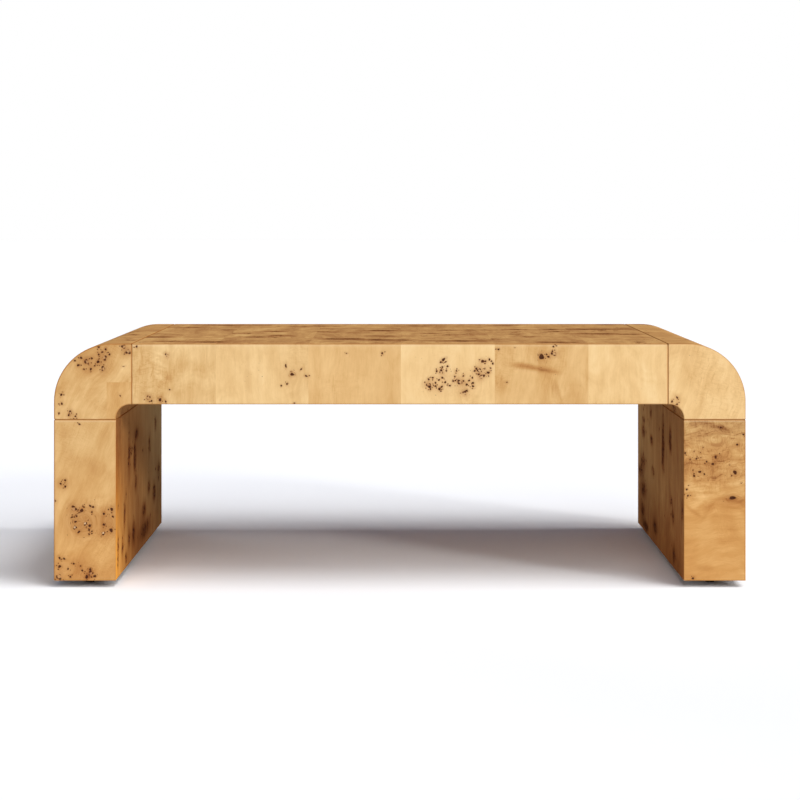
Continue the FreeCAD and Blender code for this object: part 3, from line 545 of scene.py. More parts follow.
def figure(f, leaf, leaves, eyes, smears, swirls, seed):
    """What the wood looks like at figure coordinates f of the corners of a sheet.
    leaves rows: (tone, fibre angle in degrees, how busy, how warm).
    Returns grain, figure, detail and warmth."""
    n = len(f)
    leaves = np.array([(*row, 0.0)[:4] for row in leaves], float)
    tone = leaves[leaf, 0].copy()
    angle = np.radians(leaves[leaf, 1])
    busy = leaves[leaf, 2].copy()
    # fibre coordinates, warped so that no line is straight
    g = f + 7.0 * np.stack([noise2(f, 150, seed), noise2(f, 140, seed + 1)], 1)
    g += (1.2 + 5.0 * busy)[:, None] * np.stack(
        [noise2(f, 48, seed + 2), noise2(f, 44, seed + 3)], 1
    )
    g += (0.4 + 2.2 * busy)[:, None] * np.stack(
        [noise2(f, 17, seed + 4), noise2(f, 15, seed + 5)], 1
    )
    eye, halo, pale = np.zeros(n), np.zeros(n), np.zeros(n)
    order = np.argsort(f[:, 0], kind="stable")
    column = f[order, 0]

    def close(a, b, reach):
        """Indices of the corners within reach of (a, b)."""
        i, j = np.searchsorted(column, (a - reach, a + reach))
        some = order[i:j]
        return some[np.abs(f[some, 1] - b) < reach]

    for a, b, r, amount in swirls:
        d = f - (a, b)
        far2 = (d**2).sum(1)
        g -= d * (amount * r * r / (far2 + 0.35 * r * r) * np.exp(-far2 / (3.2 * r) ** 2))[:, None]
    for a, b, r, dark, glow, ring, stretch, turn, ph1, ph2 in eyes:
        reach = 6.0 * r * stretch + 4
        near = close(a, b, reach)
        if not len(near):
            continue
        d = f[near] - (a, b)
        c, s = math.cos(turn), math.sin(turn)
        x, y = (d[:, 0] * c + d[:, 1] * s) / stretch, -d[:, 0] * s + d[:, 1] * c
        th = np.arctan2(y, x)
        rho = np.hypot(x, y) / (r * (1 + 0.13 * np.sin(2 * th + ph1) + 0.09 * np.sin(3 * th + ph2)))
        e = 1 / (1 + rho**4)
        if ring:  # a dark broken line, thicker on one side, round a dot or a light middle
            thick = 0.40 + 0.13 * np.sin(th + ph1)
            e = np.exp(-(((rho - 0.80) / thick) ** 2))
            e *= (0.85 + 0.22 * np.sin(th + ph1)) * (0.84 + 0.26 * np.sin(3 * th + ph2))
            e = np.maximum(e, (1 - ring) * 1.1 / (1 + (rho / 0.35) ** 4))
            if ring > 0.5:
                pale[near] = np.maximum(pale[near], (2 * ring - 1) / (1 + (rho / 0.5) ** 6))
        eye[near] = np.maximum(eye[near], dark * e)
        h = 0.8 * glow * np.exp(-((rho / 2.0) ** 2))
        if 1.15 < r < 2.9:  # a thin broken line further out
            arc = np.exp(-(((rho - 2.0) / 0.30) ** 2)) * np.clip(0.3 + 0.8 * np.sin(2 * th + ph1 + ph2), 0, 1)
            h = np.maximum(h, 0.8 * glow * arc)
        halo[near] = 1 - (1 - halo[near]) * (1 - 0.85 * h)
        far2 = (d**2).sum(1)
        rr = (1.5 * r) ** 2
        g[near] -= d * (0.8 * rr / (far2 + 0.5 * rr) * np.exp(-far2 / (9 * rr)))[:, None]
    for a, b, wa, wb, turn, dt, dh in smears:
        c, s = math.cos(math.radians(turn)), math.sin(math.radians(turn))
        near = close(a, b, 2.4 * max(wa, wb))
        if not len(near):
            continue
        d = f[near] - (a, b)
        x, y = (d[:, 0] * c + d[:, 1] * s) / wa, (-d[:, 0] * s + d[:, 1] * c) / wb
        m = np.exp(-((x * x + y * y) ** 1.3))
        tone[near] += dt * m
        halo[near] = 1 - (1 - halo[near]) * (1 - np.clip(dh * m, 0, 1))
    ca, sa = np.cos(angle), np.sin(angle)
    along = g[:, 0] * ca + g[:, 1] * sa
    across = -g[:, 0] * sa + g[:, 1] * ca
    rng = np.random.default_rng(seed + 77)
    shift = rng.uniform(-400, 400, (len(leaves), 3))
    grain = np.stack([along, across, np.zeros(n)], 1) + shift[leaf]
    return grain * MM, np.stack([eye, halo, tone], 1), np.stack([busy, pale], 1), leaves[leaf, 3]


def make_sheet(name, shape, nodes, look, flip=False, joints_a=(), joints_b=()):
    """Builds the closed sheet, its fibre and figure attributes, normals and UVs."""
    rough = shape.pattern(joints_a, joints_b, lambda p: np.full(len(p), STEP))
    low, high = rough[0].min(0), rough[0].max(0)
    size = size_field(look["eyes"], look["to_figure"], low, high, look["fine"])
    pts, edges, ring, eased, _, faces_in = shape.pattern(joints_a, joints_b, size)
    verts = [Vector(p) for p in pts.tolist()]
    if faces_in is None:
        out = delaunay_2d_cdt(verts, edges, [], 0, 1e-6, True)
    else:
        out = delaunay_2d_cdt(verts, edges, [faces_in], 1, 1e-6, True)
    pat = np.array([tuple(v) for v in out[0]])
    tris = np.array([f for f in out[2] if len(f) == 3])
    back_to = {}
    for new, olds in enumerate(out[3]):
        for o in olds:
            back_to[o] = new
    ring = [back_to[i] for i in ring]
    eased_new = np.zeros(len(pat), bool)
    for new, olds in enumerate(out[3]):
        eased_new[new] = any(eased[o] for o in olds)
    # counter-clockwise in the pattern
    if faces_in is not None:
        tris = tris[shape.holds(pat[tris].mean(1))]
    e1, e2 = pat[tris[:, 1]] - pat[tris[:, 0]], pat[tris[:, 2]] - pat[tris[:, 0]]
    area = e1[:, 0] * e2[:, 1] - e1[:, 1] * e2[:, 0]
    tris = tris[np.abs(area) > 1e-9]
    area = area[np.abs(area) > 1e-9]
    tris[area < 0] = tris[area < 0][:, ::-1]
    outer_pos = shape.place(pat, pat)

    # the side that is glued down: its outline and a few points inside
    ring_pts = pat[ring]
    if isinstance(shape, Board):
        ga = np.arange(low[0] + 8, high[0] - 6, 6.4 if shape.steps_a else 64.0)
        gb = np.arange(low[1] + 8, high[1] - 6, 12.8 if shape.steps_a else 64.0)
        ga, gb = np.meshgrid(ga, gb)
        extra = np.stack([ga.ravel(), gb.ravel()], 1)
        grooves = [
            x
            for x in shape.rows(shape.span_a)
            if "groove" in shape.span_a[2:] and low[0] + 0.5 < x < high[0] - 0.5
        ]
        bevels = [(x, low[1]) for x in grooves]
    else:
        extra, bevels = np.zeros((0, 2)), []
    back_in = [Vector(p) for p in np.vstack([ring_pts, extra]).tolist()]
    k = len(ring)
    loop = list(range(k))
    out = delaunay_2d_cdt(back_in, [], [loop], 1, 1e-6, True)
    back_pat = np.array([tuple(v) for v in out[0]])
    back_tris = np.array([f for f in out[2] if len(f) == 3])
    if faces_in is not None:
        back_tris = back_tris[shape.holds(back_pat[back_tris].mean(1))]
    e1 = back_pat[back_tris[:, 1]] - back_pat[back_tris[:, 0]]
    e2 = back_pat[back_tris[:, 2]] - back_pat[back_tris[:, 0]]
    area = e1[:, 0] * e2[:, 1] - e1[:, 1] * e2[:, 0]
    back_tris = back_tris[np.abs(area) > 1e-7]
    area = area[np.abs(area) > 1e-7]
    back_tris[area > 0] = back_tris[area > 0][:, ::-1]
    back_pos = shape.place(back_pat, back_pat, True)
    loop_new = {}
    for new, olds in enumerate(out[3]):
        for o in olds:
            if o < k:
                loop_new[o] = new

    # one vertex list: an eased edge is shared by both sides
    n_out = len(outer_pos)
    index = np.arange(len(back_pat)) + n_out
    for i in range(k):
        if eased_new[ring[i]]:
            index[loop_new[i]] = ring[i]
    used = np.unique(index[index >= n_out])
    renum = np.full(n_out + len(back_pat), -1)
    renum[:n_out] = np.arange(n_out)
    renum[used] = n_out + np.arange(len(used))
    index = renum[index]
    co = np.vstack([outer_pos, back_pos[used - n_out]])

    faces, corner_p, corner_q, kind = [], [], [], []
    cent = pat[tris].mean(1)
    loops = tris.ravel()
    corner_p.append(pat[tris].reshape(-1, 2))
    corner_q.append(np.repeat(cent, 3, 0))
    kind.append(np.zeros(len(loops), int))
    sizes = [np.full(len(tris), 3)]
    all_loops = [loops]
    b_loops = index[back_tris].ravel()
    good = np.array([len(set(t)) == 3 for t in index[back_tris]])
    back_tris = back_tris[good]
    b_loops = index[back_tris].ravel()
    corner_p.append(back_pat[back_tris].reshape(-1, 2))
    corner_q.append(np.repeat(back_pat[back_tris].mean(1), 3, 0))
    kind.append(np.ones(len(b_loops), int))
    sizes.append(np.full(len(back_tris), 3))
    all_loops.append(b_loops)
    side_loops, side_sizes, side_p = [], [], []
    for i in range(k):
        j = (i + 1) % k
        quad = [
            (ring[j], ring_pts[j]),
            (ring[i], ring_pts[i]),
            (index[loop_new[i]], ring_pts[i]),
            (index[loop_new[j]], ring_pts[j]),
        ]
        seen, kept = set(), []
        for v, p in quad:
            if v not in seen:
                seen.add(v)
                kept.append((v, p))
        if len(kept) >= 3:
            side_loops += [v for v, _ in kept]
            side_p += [p for _, p in kept]
            side_sizes.append(len(kept))
    if side_loops:
        all_loops.append(np.array(side_loops))
        sizes.append(np.array(side_sizes))
        corner_p.append(np.array(side_p))
        mids = np.add.reduceat(
            np.array(side_p), np.concatenate([[0], np.cumsum(side_sizes)[:-1]]), 0
        ) / np.array(side_sizes)[:, None]
        corner_q.append(np.repeat(mids, side_sizes, 0))
        kind.append(np.full(len(side_loops), 2))
    loops, sizes = np.concatenate(all_loops), np.concatenate(sizes)
    cp, cq, kind = np.concatenate(corner_p), np.concatenate(corner_q), np.concatenate(kind)
    starts = np.concatenate([[0], np.cumsum(sizes)[:-1]])
    if flip:  # turn every face over, corner order reversed
        order = np.concatenate([np.arange(s + c - 1, s - 1, -1) for s, c in zip(starts, sizes)])
        loops, cp, cq, kind = loops[order], cp[order], cq[order], kind[order]

    mesh = bpy.data.meshes.new(name)
    mesh.vertices.add(len(co))
    mesh.vertices.foreach_set("co", (co * MM).astype(np.float32).ravel())
    mesh.loops.add(len(loops))
    mesh.loops.foreach_set("vertex_index", loops.astype(np.int32))
    mesh.polygons.add(len(sizes))
    mesh.polygons.foreach_set("loop_start", starts.astype(np.int32))
    mesh.update(calc_edges=True)

    # leaf of each corner, then what the wood looks like there
    leaf = np.zeros(len(cq), int)
    if look.get("leaf_of"):
        leaf = look["leaf_of"](cq)
    else:
        na = len(joints_a) + 1
        leaf = np.searchsorted(np.array(sorted(joints_a)), cq[:, 0]) if len(joints_a) else leaf
        if len(joints_b):
            leaf = leaf + na * np.searchsorted(np.array(sorted(joints_b)), cq[:, 1])
    f = look["to_figure"](cp)
    grain, fig, det, warm = figure(
        f, leaf, look["leaves"], look["eyes"], look.get("smears", ()), look.get("swirls", ()), look["seed"]
    )
    if look.get("tone_at"):
        fig[:, 2] += look["tone_at"](cp)
    # painted highlight lines, laid into the same channel as the eyes' light middles
    if look.get("pale_at"):
        det[:, 1] = np.maximum(det[:, 1], look["pale_at"](cp))
    if look.get("busy_at"):
        det[:, 0] *= look["busy_at"](cp)
    if look.get("warm_at"):
        warm = warm + look["warm_at"](cp)
    mesh.attributes.new("warm", "FLOAT", "CORNER").data.foreach_set("value", warm.astype(np.float32))
    # how near an edge or a groove a point is
    edge = look["edge_of"](cp, cq)
    for attr, values in (
        ("grain", grain),
        ("figure", fig),
        ("detail", np.column_stack([edge, det])),
    ):
        made = mesh.attributes.new(attr, "FLOAT_VECTOR", "CORNER")
        made.data.foreach_set("vector", values.astype(np.float32).ravel())

    # normals: worked out on the surface itself, so that eased edges shade as arcs
    h = 1e-3
    nrm = np.zeros((len(loops), 3))
    for which, inner in ((0, False), (1, True)):
        on = kind == which
        p, q = cp[on], cq[on]
        toward = (q - p) * 1e-4  # a hair inside the face
        p = p + toward
        da = shape.place(p + (h, 0), q, inner) - shape.place(p - (h, 0), q, inner)
        db = shape.place(p + (0, h), q, inner) - shape.place(p - (0, h), q, inner)
        m = np.cross(da, db) * (-1 if inner else 1) * (-1 if flip else 1)
        length = np.linalg.norm(m, axis=1)
        bad = length < 1e-12
        m[bad] = 0
        length[bad] = 1
        nrm[on] = m / length[:, None]
    on = kind == 2
    if on.any():
        normals = np.zeros(len(mesh.polygons) * 3, np.float32)
        mesh.polygons.foreach_get("normal", normals)
        nrm[on] = np.repeat(normals.reshape(-1, 3), sizes, 0)[on]
    mesh.polygons.foreach_set("use_smooth", np.ones(len(sizes), bool))
    mesh.normals_split_custom_set(nrm.astype(np.float32))

    # UVs: the shown side fills most of the square, the glued side and the rim a corner of it
    uv = mesh.uv_layers.new(name="OFBake")
    wide = high - low
    turn = wide[1] > wide[0]
    flat = (cp - low)[:, ::-1] if turn else (cp - low)
    span = wide[::-1] if turn else wide
    k1 = min(0.98 / span[0], 0.80 / span[1])
    k2 = min(0.6 / span[0], 0.14 / span[1])
    place_uv = flat * k1 + 0.01
    second = flat * k2 + (0.02, 0.84)
    centre = span * k2 / 2 + (0.02, 0.84)
    place_uv[kind == 1] = second[kind == 1]
    if on.any():
        rim = second[on]
        is_outer = np.isin(loops[on], np.arange(n_out))
        push = centre + (rim - centre) * (1 + 0.006 / (span * k2 / 2))
        rim = np.where(is_outer[:, None], push, rim)
        place_uv[on] = rim
    uv.data.foreach_set("uv", place_uv.astype(np.float32).ravel())
    mesh.validate(clean_customdata=False)
    mesh.update()
    ob = bpy.data.objects.new(name, mesh)
    bpy.context.scene.collection.objects.link(ob)
    ob.data.materials.append(BURL)
    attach(ob, "table")
    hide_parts(*nodes)
    return ob


# ------------------------------------------------------------------- materials


class Net:
    """A material and short calls that add nodes to it."""

    def __init__(self, name):
        self.mat = bpy.data.materials.new(name)
        self.mat.use_nodes = True
        self.tree = self.mat.node_tree
        self.tree.nodes.clear()
        self.out = self.tree.nodes.new("ShaderNodeOutputMaterial")
        self.bsdf = self.tree.nodes.new("ShaderNodeBsdfPrincipled")
        self.tree.links.new(self.bsdf.outputs[0], self.out.inputs[0])

    def put(self, socket, value):
        if isinstance(value, bpy.types.NodeSocket):
            self.tree.links.new(value, socket)
        elif value is not None:
            socket.default_value = value

    def node(self, kind, **props):
        made = self.tree.nodes.new(kind)
        for k, v in props.items():
            setattr(made, k, v)
        return made

    def math(self, op, a, b=None, c=None, clamp=False):
        m = self.node("ShaderNodeMath", operation=op, use_clamp=clamp)
        for s, v in zip(m.inputs, (a, b, c)):
            self.put(s, v)
        return m.outputs[0]

    def attr(self, name):
        return self.node("ShaderNodeAttribute", attribute_name=name).outputs["Vector"]

    def split(self, vec):
        s = self.node("ShaderNodeSeparateXYZ")
        self.put(s.inputs[0], vec)
        return s.outputs

    def join(self, x, y, z):
        c = self.node("ShaderNodeCombineXYZ")
        for s, v in zip(c.inputs, (x, y, z)):
            self.put(s, v)
        return c.outputs[0]

    def scaled(self, vec, factors, offset=(0, 0, 0)):
        m = self.node("ShaderNodeVectorMath", operation="MULTIPLY_ADD")
        self.put(m.inputs[0], vec)
        m.inputs[1].default_value = factors
        m.inputs[2].default_value = offset
        return m.outputs[0]

    def noise(self, vec, scale=1.0, detail=2.0, rough=0.5, distortion=0.0):
        n = self.node("ShaderNodeTexNoise")
        self.put(n.inputs["Vector"], vec)
        n.inputs["Scale"].default_value = scale
        n.inputs["Detail"].default_value = detail
        n.inputs["Roughness"].default_value = rough
        n.inputs["Distortion"].default_value = distortion
        return n.outputs[0]

    def step(self, value, low, high, out0=0.0, out1=1.0, smooth=True):
        m = self.node(
            "ShaderNodeMapRange",
            interpolation_type="SMOOTHSTEP" if smooth else "LINEAR",
            clamp=True,
        )
        self.put(m.inputs["Value"], value)
        m.inputs["From Min"].default_value = low
        m.inputs["From Max"].default_value = high
        m.inputs["To Min"].default_value = out0
        m.inputs["To Max"].default_value = out1
        return m.outputs[0]

    def mix(self, fac, a, b, blend="MIX"):
        m = self.node("ShaderNodeMix", data_type="RGBA", blend_type=blend)
        self.put(m.inputs["Factor"], fac)
        for s, v in ((m.inputs[6], a), (m.inputs[7], b)):
            self.put(s, v if isinstance(v, bpy.types.NodeSocket) else (*v, 1.0))
        return m.outputs[2]

    def ramp(self, fac, stops):
        r = self.node("ShaderNodeValToRGB")
        self.put(r.inputs[0], fac)
        ramp = r.color_ramp
        while len(ramp.elements) < len(stops):
            ramp.elements.new(0.5)
        for e, (p, c) in zip(ramp.elements, stops):
            e.position, e.color = p, (*c, 1.0)
        return r.outputs[0]

    def bump(self, height, strength, distance, normal=None):
        b = self.node("ShaderNodeBump")
        b.inputs["Strength"].default_value = strength
        b.inputs["Distance"].default_value = distance
        self.put(b.inputs["Height"], height)
        if normal is not None:
            self.put(b.inputs["Normal"], normal)
        return b.outputs[0]

    def finish(self, **inputs):
        for k, v in inputs.items():
            self.put(self.bsdf.inputs[k.replace("_", " ")], v)
        return self.mat


def burl_material():
    n = Net("burl_veneer")
    grain = n.attr("grain")
    eye0, halo, tone = n.split(n.attr("figure"))
    edge, busy, pale = n.split(n.attr("detail"))
    centred = lambda v: n.math("SUBTRACT", v, 0.5)

    # soft bands along the fibre, clouds, fibre, curl
    bands = centred(n.noise(n.scaled(grain, (7, 34, 1)), 1, 2.0, 0.55, 0.6))
    clouds = centred(n.noise(n.scaled(grain, (19, 27, 1), (3, 9, 2)), 1, 4.0, 0.6, 0.8))
    blotch = n.noise(n.scaled(grain, (8, 10, 1), (9, 2, 5)), 1, 2.0, 0.5, 0.3)
    fibre = centred(n.noise(n.scaled(grain, (42, 620, 1)), 1, 3.0, 0.6, 0.2))
    fleck = centred(n.noise(n.scaled(grain, (150, 420, 1), (1, 4, 7)), 1, 2.0, 0.6, 0.4))
    curl = n.noise(n.scaled(grain, (150, 40, 1), (5, 3, 1)), 1, 2.0, 0.55, 1.2)
    curl = n.math("ABSOLUTE", centred(curl))
    curl = n.step(curl, 0.0, 0.07, 1.0, 0.0)
    where = n.step(n.math("ADD", blotch, n.math("MULTIPLY", busy, 0.16)), 0.52, 0.70)
    curl = n.math("MULTIPLY", curl, where)

    # coarser strands, and short dark lines where the grain is open
    strand = centred(n.noise(n.scaled(grain, (20, 185, 1), (6, 8, 4)), 1, 2.0, 0.6, 0.5))
    crack = n.step(n.noise(n.scaled(grain, (34, 270, 1), (2, 6, 9)), 1, 1.0, 0.5, 0.3), 0.60, 0.74)
    crack = n.math("MULTIPLY", crack, n.step(blotch, 0.44, 0.62))

    gain = n.math("MULTIPLY_ADD", busy, 1.6, 0.42)
    t = n.math("MULTIPLY_ADD", n.math("MULTIPLY", bands, gain), 1.0, tone)
    t = n.math("MULTIPLY_ADD", n.math("MULTIPLY", clouds, gain), 1.1, t)
    t = n.math("MULTIPLY_ADD", centred(blotch), n.math("MULTIPLY_ADD", busy, 0.5, 0.30), t)
    t = n.math("MULTIPLY_ADD", strand, n.math("MULTIPLY_ADD", busy, 0.50, 0.16), t)
    t = n.math("MULTIPLY_ADD", fibre, n.math("MULTIPLY_ADD", busy, 0.28, 0.20), t)
    t = n.math("MULTIPLY_ADD", fleck, n.math("MULTIPLY_ADD", busy, 0.40, 0.10), t)
    t = n.math("MULTIPLY_ADD", curl, n.math("MULTIPLY_ADD", busy, 0.30, 0.06), t)
    t = n.math("MULTIPLY_ADD", crack, n.math("MULTIPLY_ADD", busy, 0.5, 0.08), t)
    place = n.math("MULTIPLY_ADD", t, 0.4, 0.16)
    wood = n.ramp(
        place,
        [
            (0.0, (0.89, 0.660, 0.335)),
            (0.16, (0.81, 0.552, 0.250)),
            (0.43, (0.600, 0.345, 0.124)),
            (0.56, (0.515, 0.264, 0.088)),
            (0.80, (0.315, 0.130, 0.042)),
            (1.0, (0.150, 0.054, 0.019)),
        ],
    )

    # some leaves are warmer, some cooler; the top's coolness and the inner leg faces' warmth are painted light and
    # shade
    warm = n.node("ShaderNodeAttribute", attribute_name="warm").outputs["Fac"]
    tint = n.join(1.0, n.math("MULTIPLY_ADD", warm, -0.20, 1.0), n.math("MULTIPLY_ADD", warm, -0.42, 1.0))
    wood = n.mix(1.0, wood, tint, "MULTIPLY")

    # reddish halos round the eyes, broken up by the fibre
    fine = n.noise(n.scaled(grain, (330, 460, 1), (2, 2, 8)), 1, 3.0, 0.6, 0.4)
    red = n.math("MULTIPLY", halo, n.math("MULTIPLY_ADD", fine, 1.2, 0.25), clamp=True)
    wood = n.mix(n.math("MULTIPLY", red, 0.90), wood, (0.48, 0.27, 0.17), "MULTIPLY")

    # small specks that come with the eyes
    v = n.node("ShaderNodeTexVoronoi", feature="F1")
    n.put(v.inputs["Vector"], n.scaled(grain, (250, 285, 1), (4, 1, 3)))
    v.inputs["Scale"].default_value = 1.0
    chance = n.split(v.outputs["Color"])[0]
    speck = n.step(v.outputs["Distance"], 0.15, 0.27, 1.0, 0.0)
    some = n.step(n.math("ADD", chance, n.math("MULTIPLY", halo, 0.9)), 0.97, 1.05)
    speck = n.math("MULTIPLY", speck, some)
    wood = n.mix(n.math("MULTIPLY", speck, 0.75), wood, (0.13, 0.045, 0.018))

    # the eyes
    eye = n.math("MULTIPLY_ADD", centred(fine), 0.42, eye0)
    mask = n.step(eye, 0.26, 0.54)
    pupil = n.mix(n.step(fine, 0.35, 0.7), (0.070, 0.022, 0.010), (0.034, 0.011, 0.007))
    core = n.mix(n.step(eye, 0.34, 0.75), (0.17, 0.056, 0.022), pupil)
    # light middles of ring eyes, and painted highlight lines below the apron's top edge and the legs' top seam
    wood = n.mix(n.math("MULTIPLY", pale, 0.55), wood, (0.86, 0.68, 0.40))
    wood = n.mix(n.math("MULTIPLY", mask, 0.95), wood, core)

    # stain along eased and meeting edges; in grooves, darker still, partly stain in the joint and partly painted shade
    # of the groove's recess
    wood = n.mix(n.math("MULTIPLY", edge, 0.9, clamp=True), wood, (0.400, 0.155, 0.034))
    # near black at the deepest part of the top's and the bends' grooves: painted shade in the recess
    wood = n.mix(n.step(edge, 1.0, 1.3), wood, (0.170, 0.066, 0.020))

    rough = n.math("MULTIPLY_ADD", clouds, 0.16, 0.47)
    rough = n.math("MULTIPLY_ADD", mask, 0.10, rough)
    height = n.math("MULTIPLY_ADD", fibre, 0.5, n.math("MULTIPLY", mask, -1.0))
    height = n.math("MULTIPLY_ADD", clouds, 0.6, height)
    normal = n.bump(height, 0.22, 0.0003)
    n.bsdf.inputs["Specular IOR Level"].default_value = 0.0
    return n.finish(Base_Color=wood, Roughness=rough, Normal=normal)


def object_coordinates(n):
    return n.node("ShaderNodeTexCoord").outputs["Object"]


def board_material():
    """Fibreboard: pressed fibres, fine flecks."""
    n = Net("carcass_board")
    at = object_coordinates(n)
    cloud = n.noise(at, 45, 4, 0.6, 0.3)
    fibres = n.noise(n.scaled(at, (900, 1500, 1200)), 1, 3, 0.7, 0.5)
    wool = n.math("MULTIPLY_ADD", n.math("SUBTRACT", fibres, 0.5), 0.9, cloud)
    colour = n.ramp(wool, [(0.25, (0.20, 0.125, 0.07)), (0.5, (0.33, 0.22, 0.13)), (0.8, (0.44, 0.31, 0.19))])
    rough = n.math("MULTIPLY_ADD", fibres, 0.2, 0.7)
    return n.finish(Base_Color=colour, Roughness=rough, Normal=n.bump(fibres, 0.4, 0.0003))


def plywood_material():
    """Thin bent plies: rotary-cut grain along the bend's width."""
    n = Net("bent_plywood")
    at = object_coordinates(n)
    wave = n.noise(n.scaled(at, (16, 3, 16)), 1, 4, 0.6, 1.2)
    pores = n.noise(n.scaled(at, (700, 60, 700)), 1, 2, 0.6, 0.1)
    both = n.math("MULTIPLY_ADD", n.math("SUBTRACT", pores, 0.5), 0.5, wave)
    colour = n.ramp(both, [(0.25, (0.36, 0.22, 0.11)), (0.55, (0.55, 0.38, 0.21)), (0.85, (0.66, 0.49, 0.30))])
    rough = n.math("MULTIPLY_ADD", pores, 0.15, 0.6)
    return n.finish(Base_Color=colour, Roughness=rough, Normal=n.bump(both, 0.3, 0.0004))


def beech_material():
    """Dowels: short dark rays in pale pinkish wood."""
    n = Net("beech")
    at = object_coordinates(n)
    rays = n.noise(n.scaled(at, (160, 900, 1400)), 1, 3, 0.6, 0.2)
    tint = n.noise(at, 30, 2, 0.5, 0.0)
    both = n.math("MULTIPLY_ADD", tint, 0.5, n.math("MULTIPLY", rays, 0.5))
    colour = n.ramp(both, [(0.3, (0.34, 0.17, 0.09)), (0.5, (0.60, 0.40, 0.24)), (0.8, (0.72, 0.52, 0.34))])
    return n.finish(Base_Color=colour, Roughness=n.math("MULTIPLY_ADD", rays, 0.2, 0.5), Normal=n.bump(rays, 0.3, 0.0002))


def metal_material(name, low, high, rough_low, rough_high):
    """Plated steel: drawn marks, cloudy plating, handling wear."""
    n = Net(name)
    at = object_coordinates(n)
    drawn = n.noise(n.scaled(at, (2500, 2500, 180)), 1, 2, 0.6, 0.0)
    plate = n.noise(at, 260, 4, 0.65, 0.6)
    both = n.math("MULTIPLY_ADD", drawn, 0.35, n.math("MULTIPLY", plate, 0.65))
    colour = n.ramp(both, [(0.3, low), (0.7, high)])
    rough = n.step(both, 0.3, 0.75, rough_low, rough_high)
    n.bsdf.inputs["Metallic"].default_value = 1.0
    return n.finish(Base_Color=colour, Roughness=rough, Normal=n.bump(drawn, 0.15, 0.0001))


def plastic_material():
    """Black moulded nylon with a fine spark-eroded texture and scuffs."""
    n = Net("foot_plastic")
    at = object_coordinates(n)
    grain = n.noise(at, 2600, 2, 0.5, 0.0)
    scuff = n.noise(n.scaled(at, (300, 900, 300)), 1, 4, 0.7, 1.0)
    colour = n.mix(n.step(scuff, 0.55, 0.8), (0.012, 0.012, 0.013), (0.050, 0.048, 0.046))
    rough = n.step(scuff, 0.3, 0.8, 0.42, 0.7)
    return n.finish(Base_Color=colour, Roughness=rough, Normal=n.bump(grain, 0.35, 0.00012))


BURL = burl_material()
MATERIALS = {
    "burl_veneer": BURL,
    "carcass_board": board_material(),
    "bent_plywood": plywood_material(),
    "beech": beech_material(),
    "zinc_steel": metal_material("zinc_steel", (0.42, 0.44, 0.46), (0.66, 0.68, 0.70), 0.24, 0.48),
    "insert_steel": metal_material("insert_steel", (0.52, 0.38, 0.14), (0.72, 0.56, 0.26), 0.28, 0.5),
    "foot_plastic": plastic_material(),
}


# ------------------------------------------------------- what each sheet shows


def same(p):
    return p


def edge_of(board, stain=(0.8, 0.8, 0.8, 0.8), groove=0.5):
    """Stain along eased and meeting edges of a rectangular sheet,
    as strong as stain says at low a, high a, low b and high b. Grooves are as dark as groove says:
    partly stain in the joint, partly painted shade of the recess."""

    def at(p, q):
        out = np.zeros(len(p))
        for col, (low, high, kind_low, kind_high) in enumerate((board.span_a, board.span_b)):
            for side, edge, kind, strength in (
                (-1, low, kind_low, stain[2 * col]),
                (1, high, kind_high, stain[2 * col + 1]),
            ):
                d = side * (edge - p[:, col])
                dq = side * (edge - q[:, col])
                if kind == "round":
                    out = np.maximum(out, strength * np.clip(1 - (d + EXT) / 3.0, 0, 1))
                # in a groove: partly stain in the joint, partly painted shade of the recess
                elif kind == "groove":
                    out = np.maximum(out, np.where(dq < V, groove + 0.35 * np.clip(1 - d / V, 0, 1), 0))
                else:
                    out = np.maximum(out, strength * np.clip(1 - d / 2.0, 0, 1))
        return out

    return at


def shoulder_edge(shape, inside=0.8, outside=0.8):
    def at(p, q):
        u, v = p.T
        d = shape.inside_edge(p)[0]
        out = inside * np.clip(1 - (d + EXT) / 3.0, 0, 1)
        r = 102 - R
        d = np.where(
            u < 35, 32 + r - v, np.where(v < 32, 35 + r - u, r - np.hypot(u - 35, v - 32))
        )
        out = np.maximum(out, outside * np.clip(1 - d / 2.0, 0, 1))
        # grooves at the two seams: partly stain in the joint, partly painted shade of the recess
        for col in (0, 1):
            out = np.maximum(out, np.where(q[:, col] < V, 0.5 + 0.35 * np.clip(1 - p[:, col] / V, 0, 1), 0))
        return out

    return at


JOINTS = [-324.5, -161.0, 1.9, 167.5, 332.6]
ROUND, GROOVE, BUTT = "round", "groove", "butt"


def sheet(name, shape, nodes, leaves, rows, seed, **more):
    look = {
        "leaves": leaves,
        "eyes": eyes_from(rows, seed),
        "to_figure": more.pop("to_figure", same),
        "seed": seed,
        "fine": more.pop("fine", FINE),
        "smears": more.pop("smears", ()),
        "swirls": more.pop("swirls", ()),
        "leaf_of": more.pop("leaf_of", None),
        "tone_at": more.pop("tone_at", None),
        "pale_at": more.pop("pale_at", None),
        "busy_at": more.pop("busy_at", None),
        "warm_at": more.pop("warm_at", None),
        "edge_of": (edge_of if isinstance(shape, Board) else shoulder_edge)(shape, *more.pop("stain", ())),
    }
    return make_sheet(name, shape, nodes, look, **more)
